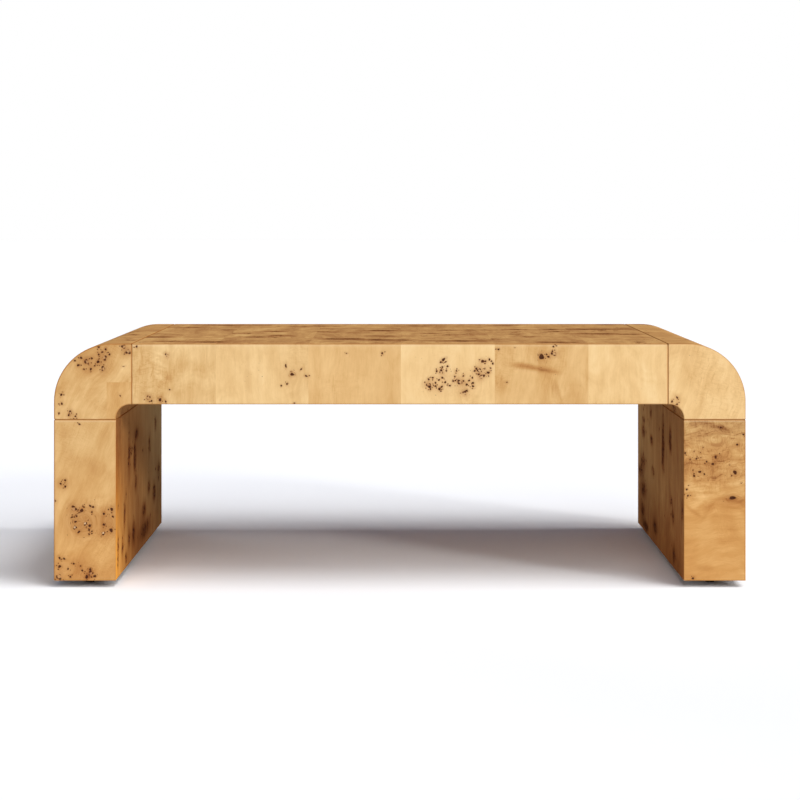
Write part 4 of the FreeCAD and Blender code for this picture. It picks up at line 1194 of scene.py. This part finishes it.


# top: leaves in a 6 x 3 match, fibre across the table. Its leaves are set darker and cooler than the other faces' as
# painted shade and painted cool light on the upward face
top = Board(
    flat_course((0, 0, 430), (1, 0, 0)), (0, 1, 0), (0, 0, 1),
    (-473, 473, GROOVE, GROOVE), (-330, 330, ROUND, ROUND),
)
sheet(
    "veneer_top_sheet", top, ["veneer_top"],
    [
        # each leaf 0.07 darker and cooled by -0.38: painted shade and painted cool light of the top
        (t + 0.07, angle, busy, -0.38)
        for t, angle, busy in (
            (0.96, 88, 0.30), (1.18, 92, 0.22), (1.10, 90, 0.35), (1.06, 87, 0.35), (1.18, 91, 0.22), (1.06, 90, 0.25),
            (1.12, 91, 0.30), (1.04, 89, 0.40), (1.20, 90, 0.30), (1.10, 92, 0.30), (1.04, 88, 0.35), (1.16, 90, 0.20),
            (1.16, 90, 0.30), (1.06, 88, 0.30), (1.14, 91, 0.30), (1.20, 90, 0.20), (1.06, 92, 0.30), (1.12, 89, 0.25),
        )
    ],
    patch_rows(11, TOP_PATCHES) + burl_rows(12, -473, 473, -330, 330, 5, 60),
    101, joints_a=JOINTS, joints_b=[-158.0, 171.0], stain=((0.8, 0.8, 0.8, 0.8), 1.0),
    smears=[(a, b, wa * 1.6, wb * 1.6, 0, 0.50 * s, 0.25 * s) for a, b, wa, wb, s in TOP_PATCHES],
)

# aprons
apron = Board(
    flat_course((0, -330, 0), (1, 0, 0)), (0, 0, 1), (0, -1, 0),
    (-473, 473, GROOVE, GROOVE), (323, 429.2, ROUND, BUTT),
)
APRON_LEAVES = [
    (0.30, 90, 0.40, 0.10), (0.13, 91, 0.22, 0.16), (0.34, 89, 0.12, 0.28),
    (-0.04, 92, 0.10, 0.22), (0.37, 82, 0.18, 0.28), (0.08, 90, 0.28, 0.24),
]
sheet(
    "veneer_apron_front_sheet", apron, ["veneer_apron_front"], APRON_LEAVES, EYES["apron"], 201,
    joints_a=JOINTS, stain=((0.8, 0.8, 1.0, 0.7),),
    # a pale line just below the top's edge: painted highlight
    pale_at=lambda p: 0.5 * np.exp(-(((426.4 - p[:, 1]) / 1.3) ** 2)),
    busy_at=lambda p: 1 + 2.4 * np.exp(-(((p[:, 0] - 105) / 55) ** 2) - ((p[:, 1] - 368) / 30) ** 2),
    smears=[
        # the reddish lens
        (216, 391, 19, 5.4, -5, 0.44, 0.12), (243, 386, 34, 4.6, -10, 0.50, 0.14),
        (75, 368, 30, 26, 0, 0.0, 0.22), (112, 362, 26, 18, 0, 0.0, 0.20), (148, 385, 20, 20, 0, 0.0, 0.16),
        (254, 383.5, 24, 1.6, -10, 0.26, 0.20),
        (276, 350, 4, 16, 8, 0.35, 0.15), (270, 346, 2, 20, 6, 0.3, 0.1), (283, 338, 2, 16, 12, 0.3, 0.05),
        (182, 356, 14, 16, 0, 0.16, 0.0), (330, 375, 3, 60, 0, 0.12, 0.0),
        (105, 365, 55, 26, 10, 0.10, 0.0),
        (60, 358, 14, 14, 0, 0.06, 0.05),
        (-268, 376, 5, 46, 0, 0.10, 0.12),
        (-247, 376, 6, 46, 0, 0.08, 0.08),
        # pale ripples across the fibre
        *((-424 + 7 * math.sin(z), z, 11, 1.7, -18, -0.26, 0) for z in range(366, 412, 5)),
        *((-386 + 5 * math.sin(z), z, 8, 1.5, 12, -0.14, 0) for z in range(352, 380, 5)),
        (-190, 372, 26, 22, 0, 0.10, 0.04),
        (-430, 333, 30, 12, 0, 0.14, 0.06),
    ],
    swirls=[(70, 362, 16, 0.7), (125, 362, 14, 0.6), (-190, 370, 14, 0.5), (258, 410, 10, 0.6)],
)
back_apron = Board(
    flat_course((0, 330, 0), (-1, 0, 0)), (0, 0, 1), (0, 1, 0),
    (-473, 473, GROOVE, GROOVE), (323, 429.2, ROUND, BUTT),
)
sheet(
    "veneer_apron_back_sheet", back_apron, ["veneer_apron_back"],
    [(0.20, 90, 0.2), (0.38, 91, 0.3), (0.08, 89, 0.15), (0.42, 92, 0.25), (0.14, 88, 0.2), (0.34, 90, 0.3)],
    burl_rows(31, -470, 470, 325, 427, 5, 10), 211, joints_a=[-332.6, -167.5, -1.9, 161.0, 324.5],
    smears=[(-210, 380, 30, 6, 12, 0.10, 0.3), (260, 360, 8, 40, 0, 0.1, 0.12)],
)
under = Board(
    flat_course((0, 0, 323), (1, 0, 0)), (0, -1, 0), (0, 0, -1),
    (-473, 473, GROOVE, GROOVE), (-329.2, 329.2, BUTT, BUTT),
)
# the underside's leaves are set much darker than the faces in view: painted shade, which also dims the light it throws
# onto the floor and the inner faces
sheet(
    "veneer_underside_sheet", under, ["veneer_underside"],
    [(1.25, 90, 0.3), (1.4, 91, 0.35), (1.3, 89, 0.3), (1.35, 90, 0.3), (1.4, 90, 0.3), (1.25, 91, 0.3)],
    burl_rows(41, -470, 470, -325, 325, 7, 16), 221, joints_a=JOINTS, fine=1.5,
)


# corners
def bend(turn, inner):
    """The course round a corner, right-hand one for turn = 1, its half turn for -1."""
    straight, radius, z0, cx, cz = (3, 25, 323, 476, 298) if inner else (35, 102, 430, 508, 328)
    arc = radius * math.pi / 2
    sign = -1 if inner else 1

    def course(a, normal):
        t = np.clip((a - straight) / radius, 0, math.pi / 2)
        x = np.where(a < straight, 473 + a, cx + radius * np.sin(t))
        z = np.where(a < straight, z0, cz + radius * np.cos(t))
        z = np.where(a > straight + arc, cz - (a - straight - arc), z)
        nx, nz = sign * np.sin(t), sign * np.cos(t)
        zero = np.zeros(len(a))
        return np.stack([turn * x, zero, z], 1), np.stack([turn * nx, zero, nz], 1)

    return course


OUTER_LONG = 35 + 51 * math.pi + 32
INNER_LONG = 3 + 12.5 * math.pi + 2
for turn, side in ((1, "right"), (-1, "left")):
    outer = Board(
        bend(turn, False), (0, turn, 0), (0, 0, 1),
        (0, OUTER_LONG, GROOVE, GROOVE), (-330, 330, ROUND, ROUND), steps_a=True,
    )
    seed = 300 if turn == 1 else 320
    patches = (
        [(42, 300, 22, 12, 0.9), (60, -180, 14, 18, 0.7), (120, 40, 24, 30, 0.8), (170, -240, 20, 22, 0.8), (200, 200, 18, 26, 0.8)]
        if turn == 1
        else [(18, 230, 16, 10, 0.8), (30, 60, 18, 12, 0.7), (100, -200, 24, 26, 0.8), (150, 120, 22, 30, 0.9), (60, -40, 14, 14, 0.7), (205, -60, 14, 24, 0.7)]
    )
    sheet(
        f"corner_{side}_veneer_outer_sheet", outer, [f"corner_{side}_veneer_outer"],
        [(0.0, 2, 0.35, -0.3), (0.05, -2, 0.4, -0.3), (-0.04, 1, 0.35, -0.3)],
        patch_rows(seed + 1, patches) + burl_rows(seed + 2, 0, OUTER_LONG, -330, 330, 2, 16),
        seed, joints_b=[-158.0, 171.0] if turn == 1 else [-171.0, 158.0],
        # darker where the bend turns into the top, lighter down its side: painted shade of the upward-facing part, as
        # on the top
        tone_at=lambda p: 1.08 - 0.60 * np.clip((p[:, 0] - 45) / 110, 0, 1) ** 1.0,
        stain=((0.8, 0.8, 0.8, 0.8), 1.0),
        smears=[(a, b, wa * 1.5, wb * 1.5, 0, 0.16 * s, 0.10 * s) for a, b, wa, wb, s in patches],
    )
    inner = Board(
        bend(turn, True), (0, -turn, 0), (0, 0, -1),
        (0, INNER_LONG, GROOVE, GROOVE), (-329.2, 329.2, BUTT, BUTT), steps_a=True,
    )
    # a dark, warm leaf: painted shade under the top, as on the inner leg faces
    sheet(
        f"corner_{side}_veneer_inner_sheet", inner, [f"corner_{side}_veneer_inner"],
        [(1.12, 2, 0.15, 0.4)], burl_rows(seed + 3, 0, INNER_LONG, -325, 325, 2, 8), seed + 4,
    )
    for face, ny in (("front", -1), ("back", 1)):

        def place_at(u, v, turn=turn, ny=ny):
            return np.stack([turn * (473 + u), np.full(len(u), 330.0 * ny), 296 + v], 1)

        def to_figure(p, turn=turn, ny=ny):
            """As seen by someone in front of that face."""
            return np.stack([-ny * turn * (473 + p[:, 0]), 296 + p[:, 1]], 1)

        shape = Shoulder(place_at, (0, ny, 0))
        more = {}
        if face == "front" and side == "left":
            leaves, rows = [(0.46, 60, 0.32, 0.22), (0.58, 80, 0.2, 0.35)], EYES["corner_left"]
            more = {
                "stain": (0.8, 1.0),
                "smears": [
                    (-545, 401, 36, 24, 0, 0.10, 0.08), (-602, 330, 10, 16, 0, 0.16, 0.05),
                    (-580, 306, 22, 9, 0, 0.14, 0.06), (-560, 335, 45, 30, 10, 0.06, 0.0),
                    (-520, 320, 40, 14, 0, 0.05, 0.0),
                ],
                "swirls": [(-548, 398, 18, 0.8), (-525, 396, 12, 0.5), (-600, 330, 12, 0.6)],
            }
        elif face == "front":
            leaves, rows = [(0.0, 74, 0.34, 0.28)], EYES["corner_right"]
            more = {
                "stain": (0.8, 0.3),
                "smears": [
                    (484, 328, 12, 12, 0, 0.12, 0.08), (560, 350, 14, 60, -20, -0.04, 0),
                    (500, 415, 26, 10, -10, 0.14, 0.05), (512, 375, 22, 26, 20, 0.14, 0.0),
                ],
            }
        else:
            leaves = [(0.3, 82, 0.3)]
            rows = [
                (a, b, k, s)
                for a, b, k, s in burl_rows(
                    seed + (5 if side == "left" else 6),
                    *(sorted((-ny * turn * 473, -ny * turn * 609))), 300, 428, 2, 4,
                )
            ]
        kept = []
        for row in rows:  # only eyes that lie on the piece
            u, v = abs(row[0]) - 473, row[1] - 296
            if (u - 35 if u > 35 else 0) ** 2 + (v - 32 if v > 32 else 0) ** 2 < 99**2 and not (
                u < 28 and v < 27 and math.hypot(max(u - 3, 0), max(v - 2, 0)) < 26.5
            ):
                kept.append(row)
        sheet(
            f"corner_{side}_veneer_{face}_sheet", shape, [f"corner_{side}_veneer_{face}"],
            leaves, kept, seed + (7 if face == "front" else 8), to_figure=to_figure,
            flip=(turn * -ny) < 0,
            joints_a=[44.0] if (side, face) == ("left", "front") else (),
            joints_b=[66.0] if (side, face) == ("left", "front") else (),
            leaf_of=(lambda q: ((q[:, 0] < 44) & (q[:, 1] < 66)).astype(int))
            if (side, face) == ("left", "front")
            else (lambda q: np.zeros(len(q), int)),
            **more,
        )

# legs
def inner_tone(turn):
    """Painted light and shade on an inner face: darker towards its foot, and lighter or darker along its length and at
    its front as the light falls there.
    """

    def tone(p):
        foot = np.clip((120 - p[:, 1]) / 120, 0, 1)
        far = np.abs(p[:, 0] - turn * 330)
        back = np.clip(far / 500, 0, 1)
        if turn == 1:
            high = np.clip((p[:, 1] - 60) / 200, 0, 1)
            middle = np.exp(-(((p[:, 1] - 140) / 60) ** 2))
            return 0.37 - 0.12 * back * high + 0.14 * (1 - high) - 0.14 * back * middle + 0.28 * foot * (1.2 - back)
        low = np.clip((230 - p[:, 1]) / 180, 0, 1)
        middle = 1.4 * np.exp(-(((far - 275) / 125) ** 2)) * np.clip((300 - p[:, 1]) / 60, 0, 1)
        front = np.exp(-far / 140)
        return 0.05 + 0.32 * low + 0.24 * middle + back * (0.45 * low**3 - 0.34) + front * (0.52 - 1.98 * low)

    return tone


def inner_warmth(turn):
    """Painted light and shade on an inner face: warmer towards its foot and its lit front, cooler towards its back."""

    def warmth(p):
        foot = np.clip((130 - p[:, 1]) / 130, 0, 1)
        front = np.abs(p[:, 0] - turn * 330)
        if turn == 1:
            return 0.20 - 0.70 * np.clip(front / 600, 0, 1) + 0.7 * foot
        return (
            1.5 * np.exp(-front / 140) * np.clip((330 - p[:, 1]) / 180, 0.2, 1)
            + 0.20 + 0.35 * foot - 0.55 * np.clip((front - 150) / 400, 0, 1)
        )

    return warmth


for turn, side in ((1, "right"), (-1, "left")):
    seed = 400 if turn == 1 else 430
    outer = Board(
        flat_course((turn * 610, 0, 0), (0, turn, 0)), (0, 0, 1), (turn, 0, 0),
        (-330, 330, ROUND, ROUND), (12, 296, ROUND, GROOVE),
    )
    sheet(
        f"leg_{side}_veneer_outer_sheet", outer, [f"leg_{side}_veneer_outer"],
        [(0.50, 90, 0.5), (0.42, 88, 0.4), (0.55, 91, 0.45)],
        burl_rows(seed + 1, -330, 330, 14, 294, 7, 20), seed, joints_a=[-158.0, 171.0],
        smears=[(-120, 150, 60, 14, 20, 0.12, 0.2), (210, 90, 50, 20, -30, 0.12, 0.12)],
    )
    inner = Board(
        flat_course((turn * 501, 0, 0), (0, -turn, 0)), (0, 0, 1), (-turn, 0, 0),
        (-329.2, 329.2, BUTT, BUTT), (12, 296, ROUND, GROOVE),
    )
    if turn == 1:
        marks = [
            (-59, 240, 5, 34, 1.0), (-58, 200, 5, 26, 1.0), (-155, 243, 5, 16, 1.0), (-163, 226, 4, 8, 0.5),
            (240, 215, 10, 10, 0.9), (109, 210, 8, 8, 0.9), (230, 240, 8, 6, 0.5), (119, 262, 6, 8, 0.5),
            (250, 150, 16, 14, 0.8), (286, 126, 14, 12, 0.8), (238, 96, 16, 14, 1.0), (250, 52, 12, 14, 0.8),
            (219, 27, 14, 8, 0.9), (188, 24, 10, 8, 0.8), (-172, 130, 5, 8, 0.6), (-189, 107, 5, 14, 0.8),
            (60, 48, 12, 12, 0.7), (-204, 36, 6, 14, 0.9), (-309, 134, 4, 16, 0.6), (89, 151, 10, 8, 0.4),
        ]
        # the viewer in front of this face has +y on the left
        marks = [(-y, z, max(14, 2.4 * wy), wz, s) for y, z, wy, wz, s in marks]
    else:
        marks = [
            (-58, 242, 20, 8, 0.9), (-81, 200, 16, 24, 1.0), (-162, 210, 14, 28, 0.9), (-70, 150, 14, 14, 0.6),
            (121, 115, 18, 12, 0.9), (203, 93, 20, 16, 1.0), (48, 80, 22, 14, 1.0), (-101, 58, 18, 18, 1.0),
            (-222, 108, 10, 20, 1.0), (-302, 58, 7, 28, 1.0), (-245, 60, 9, 18, 0.9), (-160, 60, 12, 16, 0.8), (60, 40, 60, 14, 1.0),
            (130, 200, 14, 22, 0.7), (230, 230, 16, 12, 0.6), (280, 130, 16, 18, 0.7), (-200, 30, 12, 10, 0.8),
        ]
    # the inner faces' leaves are set dark, and their tone and warmth vary as painted shade under the top and painted
    # light at their lit front
    sheet(
        f"leg_{side}_veneer_inner_sheet", inner, [f"leg_{side}_veneer_inner"],
        [(0.98, 90, 0.06, 0.0), (0.96, 90, 0.04, 0.0)], patch_rows(seed + 2, marks) + burl_rows(seed + 3, -325, 325, 14, 294, 1, 14),
        seed + 4, joints_a=[10.0],
        smears=[(a, b, wa * 1.3, wb * 1.3, 0, 0.45 * s, 0.35 * s) for a, b, wa, wb, s in marks],
        tone_at=inner_tone(turn), warm_at=inner_warmth(turn),
    )
    for face, ny in (("front", -1), ("back", 1)):
        # along the viewer's left to right
        low, high = (501, 609.2) if turn * -ny > 0 else (-609.2, -501)
        kinds = (ROUND, BUTT) if turn * -ny > 0 else (BUTT, ROUND)
        shape = Board(
            flat_course((0, 330.0 * ny, 0), (-ny, 0, 0)), (0, 0, 1), (0, ny, 0),
            (low, high, *kinds), (12, 296, ROUND, GROOVE),
        )
        more = {}
        if face == "front" and side == "left":
            leaves, rows = [(0.44, 70, 0.10)], EYES["leg_left"]
            more = {
                "stain": ((1.0, 0.5, 0.9, 0.9),),
                "tone_at": lambda p: 0.20 * np.clip((260 - p[:, 1]) / 160, 0, 1),
                "warm_at": lambda p: 0.15 + 0.45 * np.clip((260 - p[:, 1]) / 200, 0, 1),
                "busy_at": lambda p: (
                    1 + 4.5 * np.exp(-(((p[:, 0] + 545) / 46) ** 2) - ((p[:, 1] - 118) / 36) ** 2)
                    + 3.5 * np.exp(-(((p[:, 0] + 575) / 44) ** 2) - ((p[:, 1] - 34) / 24) ** 2)
                ),
                "smears": [
                    (-558, 116, 34, 30, 0, 0.05, 0.42), (-512, 116, 14, 24, 0, 0.04, 0.36),
                    (-580, 34, 40, 20, 0, 0.16, 0.22), (-594, 183, 12, 10, 0, 0.12, 0.22),
                    (-540, 215, 40, 14, -25, 0.10, 0.04), (-560, 250, 50, 20, -35, -0.08, 0),
                    (-590, 260, 14, 40, 20, 0.10, 0.04), (-525, 62, 20, 20, 0, -0.12, 0),
                    (-600, 110, 10, 50, 0, -0.10, 0),
                ],
                "swirls": [(-558, 116, 26, 0.9), (-514, 116, 16, 0.6), (-594, 184, 12, 0.6), (-590, 36, 14, 0.6)],
            }
        elif face == "front":
            leaves, rows = [(0.79, 6, 0.80, 0.35)], EYES["leg_right"]
            more = {
                "stain": ((0.6, 0.6, 0.9, 0.9),),
                "tone_at": lambda p: (
                    0.12 * np.exp(-(((p[:, 1] - 165) / 45) ** 2)) - 0.15 * np.clip((185 - p[:, 1]) / 60, 0, 1)
                    - 0.08 * np.clip((p[:, 1] - 255) / 30, 0, 1)
                ),
                "warm_at": lambda p: 0.35 * np.clip((200 - p[:, 1]) / 60, 0, 1) - 0.50 * np.clip((p[:, 1] - 235) / 50, 0, 1),
                "busy_at": lambda p: 1 - 0.78 * np.clip((165 - p[:, 1]) / 40, 0, 1),
                "smears": [
                    (556, 284, 26, 5, -14, 0.20, 0.30), (552, 270, 34, 3, 6, 0.22, 0.25), (575, 277, 20, 3, -20, 0.2, 0.2),
                    (530, 290, 20, 4, 10, 0.12, 0.2), (520, 276, 14, 8, 30, -0.20, 0), (600, 286, 10, 6, 20, 0.15, 0.2),
                    (575, 226, 34, 5, -4, 0.20, 0.10), (528, 256, 18, 12, 20, -0.22, 0), (592, 153, 26, 5, -4, 0.40, 0.25),
                    (526, 150, 18, 6, 40, -0.30, 0), (518, 134, 16, 3, -35, 0.30, 0.12), (600, 180, 12, 14, 0, -0.14, 0),
                    (540, 34, 16, 5, 0, 0.22, 0.10), (560, 90, 40, 30, 10, -0.08, 0), (540, 212, 44, 22, 0, 0.10, 0.14),
                    (600, 120, 10, 30, 10, -0.20, 0), (515, 60, 12, 40, -8, 0.10, 0.0), (590, 140, 22, 2.5, -12, 0.25, 0.0),
                ],
                "swirls": [(560, 262, 16, 0.7), (591, 203, 10, 0.7), (529, 204, 10, 0.6), (587, 158, 8, 0.6)],
            }
        else:
            leaves = [(0.55, 84, 0.45)]
            rows = burl_rows(seed + 5 + (ny + 1), low, high, 14, 294, 3, 8)
        sheet(
            f"leg_{side}_veneer_{face}_sheet", shape, [f"leg_{side}_veneer_{face}"],
            leaves, rows, seed + (7 if face == "front" else 8),
            # a pale line just below the top seam: painted highlight on the groove's lower bevel
            pale_at=lambda p: 0.4 * np.exp(-(((293.5 - p[:, 1]) / 1.1) ** 2)), **more,
        )

# ------------------------------------------------- the CAD nodes that are shown

slot_of = {entry["node"]: entry["material_slot"] for entry in frame["record"]["subparts"]}
for name, ob in frame["nodes"].items():
    mat = MATERIALS[slot_of[name]]
    ob.data.materials.clear()
    ob.data.materials.append(mat)

# ------------------------------------------------------- floor, light and camera

floor_mesh = bpy.data.meshes.new("studio_floor")
ring_n, far = 96, 60.0
pts = [(0, 0, 0)] + [
    (far * math.cos(2 * math.pi * i / ring_n), far * math.sin(2 * math.pi * i / ring_n), 0)
    for i in range(ring_n)
]
floor_mesh.from_pydata(pts, [], [(0, i + 1, (i + 1) % ring_n + 1) for i in range(ring_n)])
floor = bpy.data.objects.new("studio_floor", floor_mesh)
bpy.context.scene.collection.objects.link(floor)
paper = Net("studio_paper")
tooth = paper.noise(object_coordinates(paper), 900, 3, 0.6, 0.0)
white = paper.mix(tooth, (0.93, 0.93, 0.93), (0.95, 0.95, 0.95))
# a darker, cooler paper for the light it throws back at the table
bounce = paper.node("ShaderNodeLightPath").outputs["Is Diffuse Ray"]
white = paper.mix(bounce, white, (0.68, 0.75, 0.91))
paper.bsdf.inputs["Specular IOR Level"].default_value = 0.0
floor.data.materials.append(paper.finish(Base_Color=white, Roughness=0.95))


def sun(name, toward, strength, angle, colour=(1, 1, 1)):
    """A soft distant light that shines from the direction toward."""
    data = bpy.data.lights.new(name, "SUN")
    data.energy, data.angle, data.color = strength, math.radians(angle), colour
    ob = bpy.data.objects.new(name, data)
    ob.rotation_mode = "QUATERNION"
    ob.rotation_quaternion = Vector(toward).to_track_quat("Z", "Y")
    bpy.context.scene.collection.objects.link(ob)
    return ob


def toward(azimuth, elevation):
    """A direction: azimuth from the front towards the right, both in degrees."""
    a, e = math.radians(azimuth), math.radians(elevation)
    return (math.sin(a) * math.cos(e), -math.cos(a) * math.cos(e), math.sin(e))


sun("key", toward(60, 40), 0.836, 36)
sun("high_front", toward(33, 64), 0.395, 10)
sun("high_side", toward(65, 64), 0.517, 10)
sun("side", toward(90, 48), 0.845, 10)
sun("half", toward(28, 56), 0.299, 10)
sun("middle", toward(0, 40), 0.650, 36)
sun("low", toward(47, 18), 1.128, 10)
sun("front", toward(8, 8), 0.34, 24)
sun("rear", toward(-140, 8), 1.05, 24)

world = bpy.data.worlds.new("studio")
world.use_nodes = True
wt = world.node_tree
wt.nodes.clear()
w_out = wt.nodes.new("ShaderNodeOutputWorld")
seen, lit = wt.nodes.new("ShaderNodeBackground"), wt.nodes.new("ShaderNodeBackground")
seen.inputs[0].default_value, seen.inputs[1].default_value = (1, 1, 1, 1), 1.0
lit.inputs[0].default_value, lit.inputs[1].default_value = (0.72, 0.88, 1.5, 1), 0.09
path, mixer = wt.nodes.new("ShaderNodeLightPath"), wt.nodes.new("ShaderNodeMixShader")
wt.links.new(path.outputs["Is Camera Ray"], mixer.inputs[0])
wt.links.new(lit.outputs[0], mixer.inputs[1])
wt.links.new(seen.outputs[0], mixer.inputs[2])
wt.links.new(mixer.outputs[0], w_out.inputs[0])
bpy.context.scene.world = world

cam_data = bpy.data.cameras.new("camera")
cam_data.lens, cam_data.sensor_width = 87.27, 36.0
cam_data.shift_x, cam_data.shift_y = 0.00025, -0.223
cam_data.clip_end = 200
cam = bpy.data.objects.new("camera", cam_data)
cam.location = (0.0, -3.75, 0.6453)
cam.rotation_euler = (math.radians(90), 0, 0)
bpy.context.scene.collection.objects.link(cam)
bpy.context.scene.camera = cam

scene = bpy.context.scene
scene.view_settings.view_transform = "Standard"
scene.view_settings.look = "None"
scene.view_settings.exposure = 0.0
scene.view_settings.gamma = 1.0
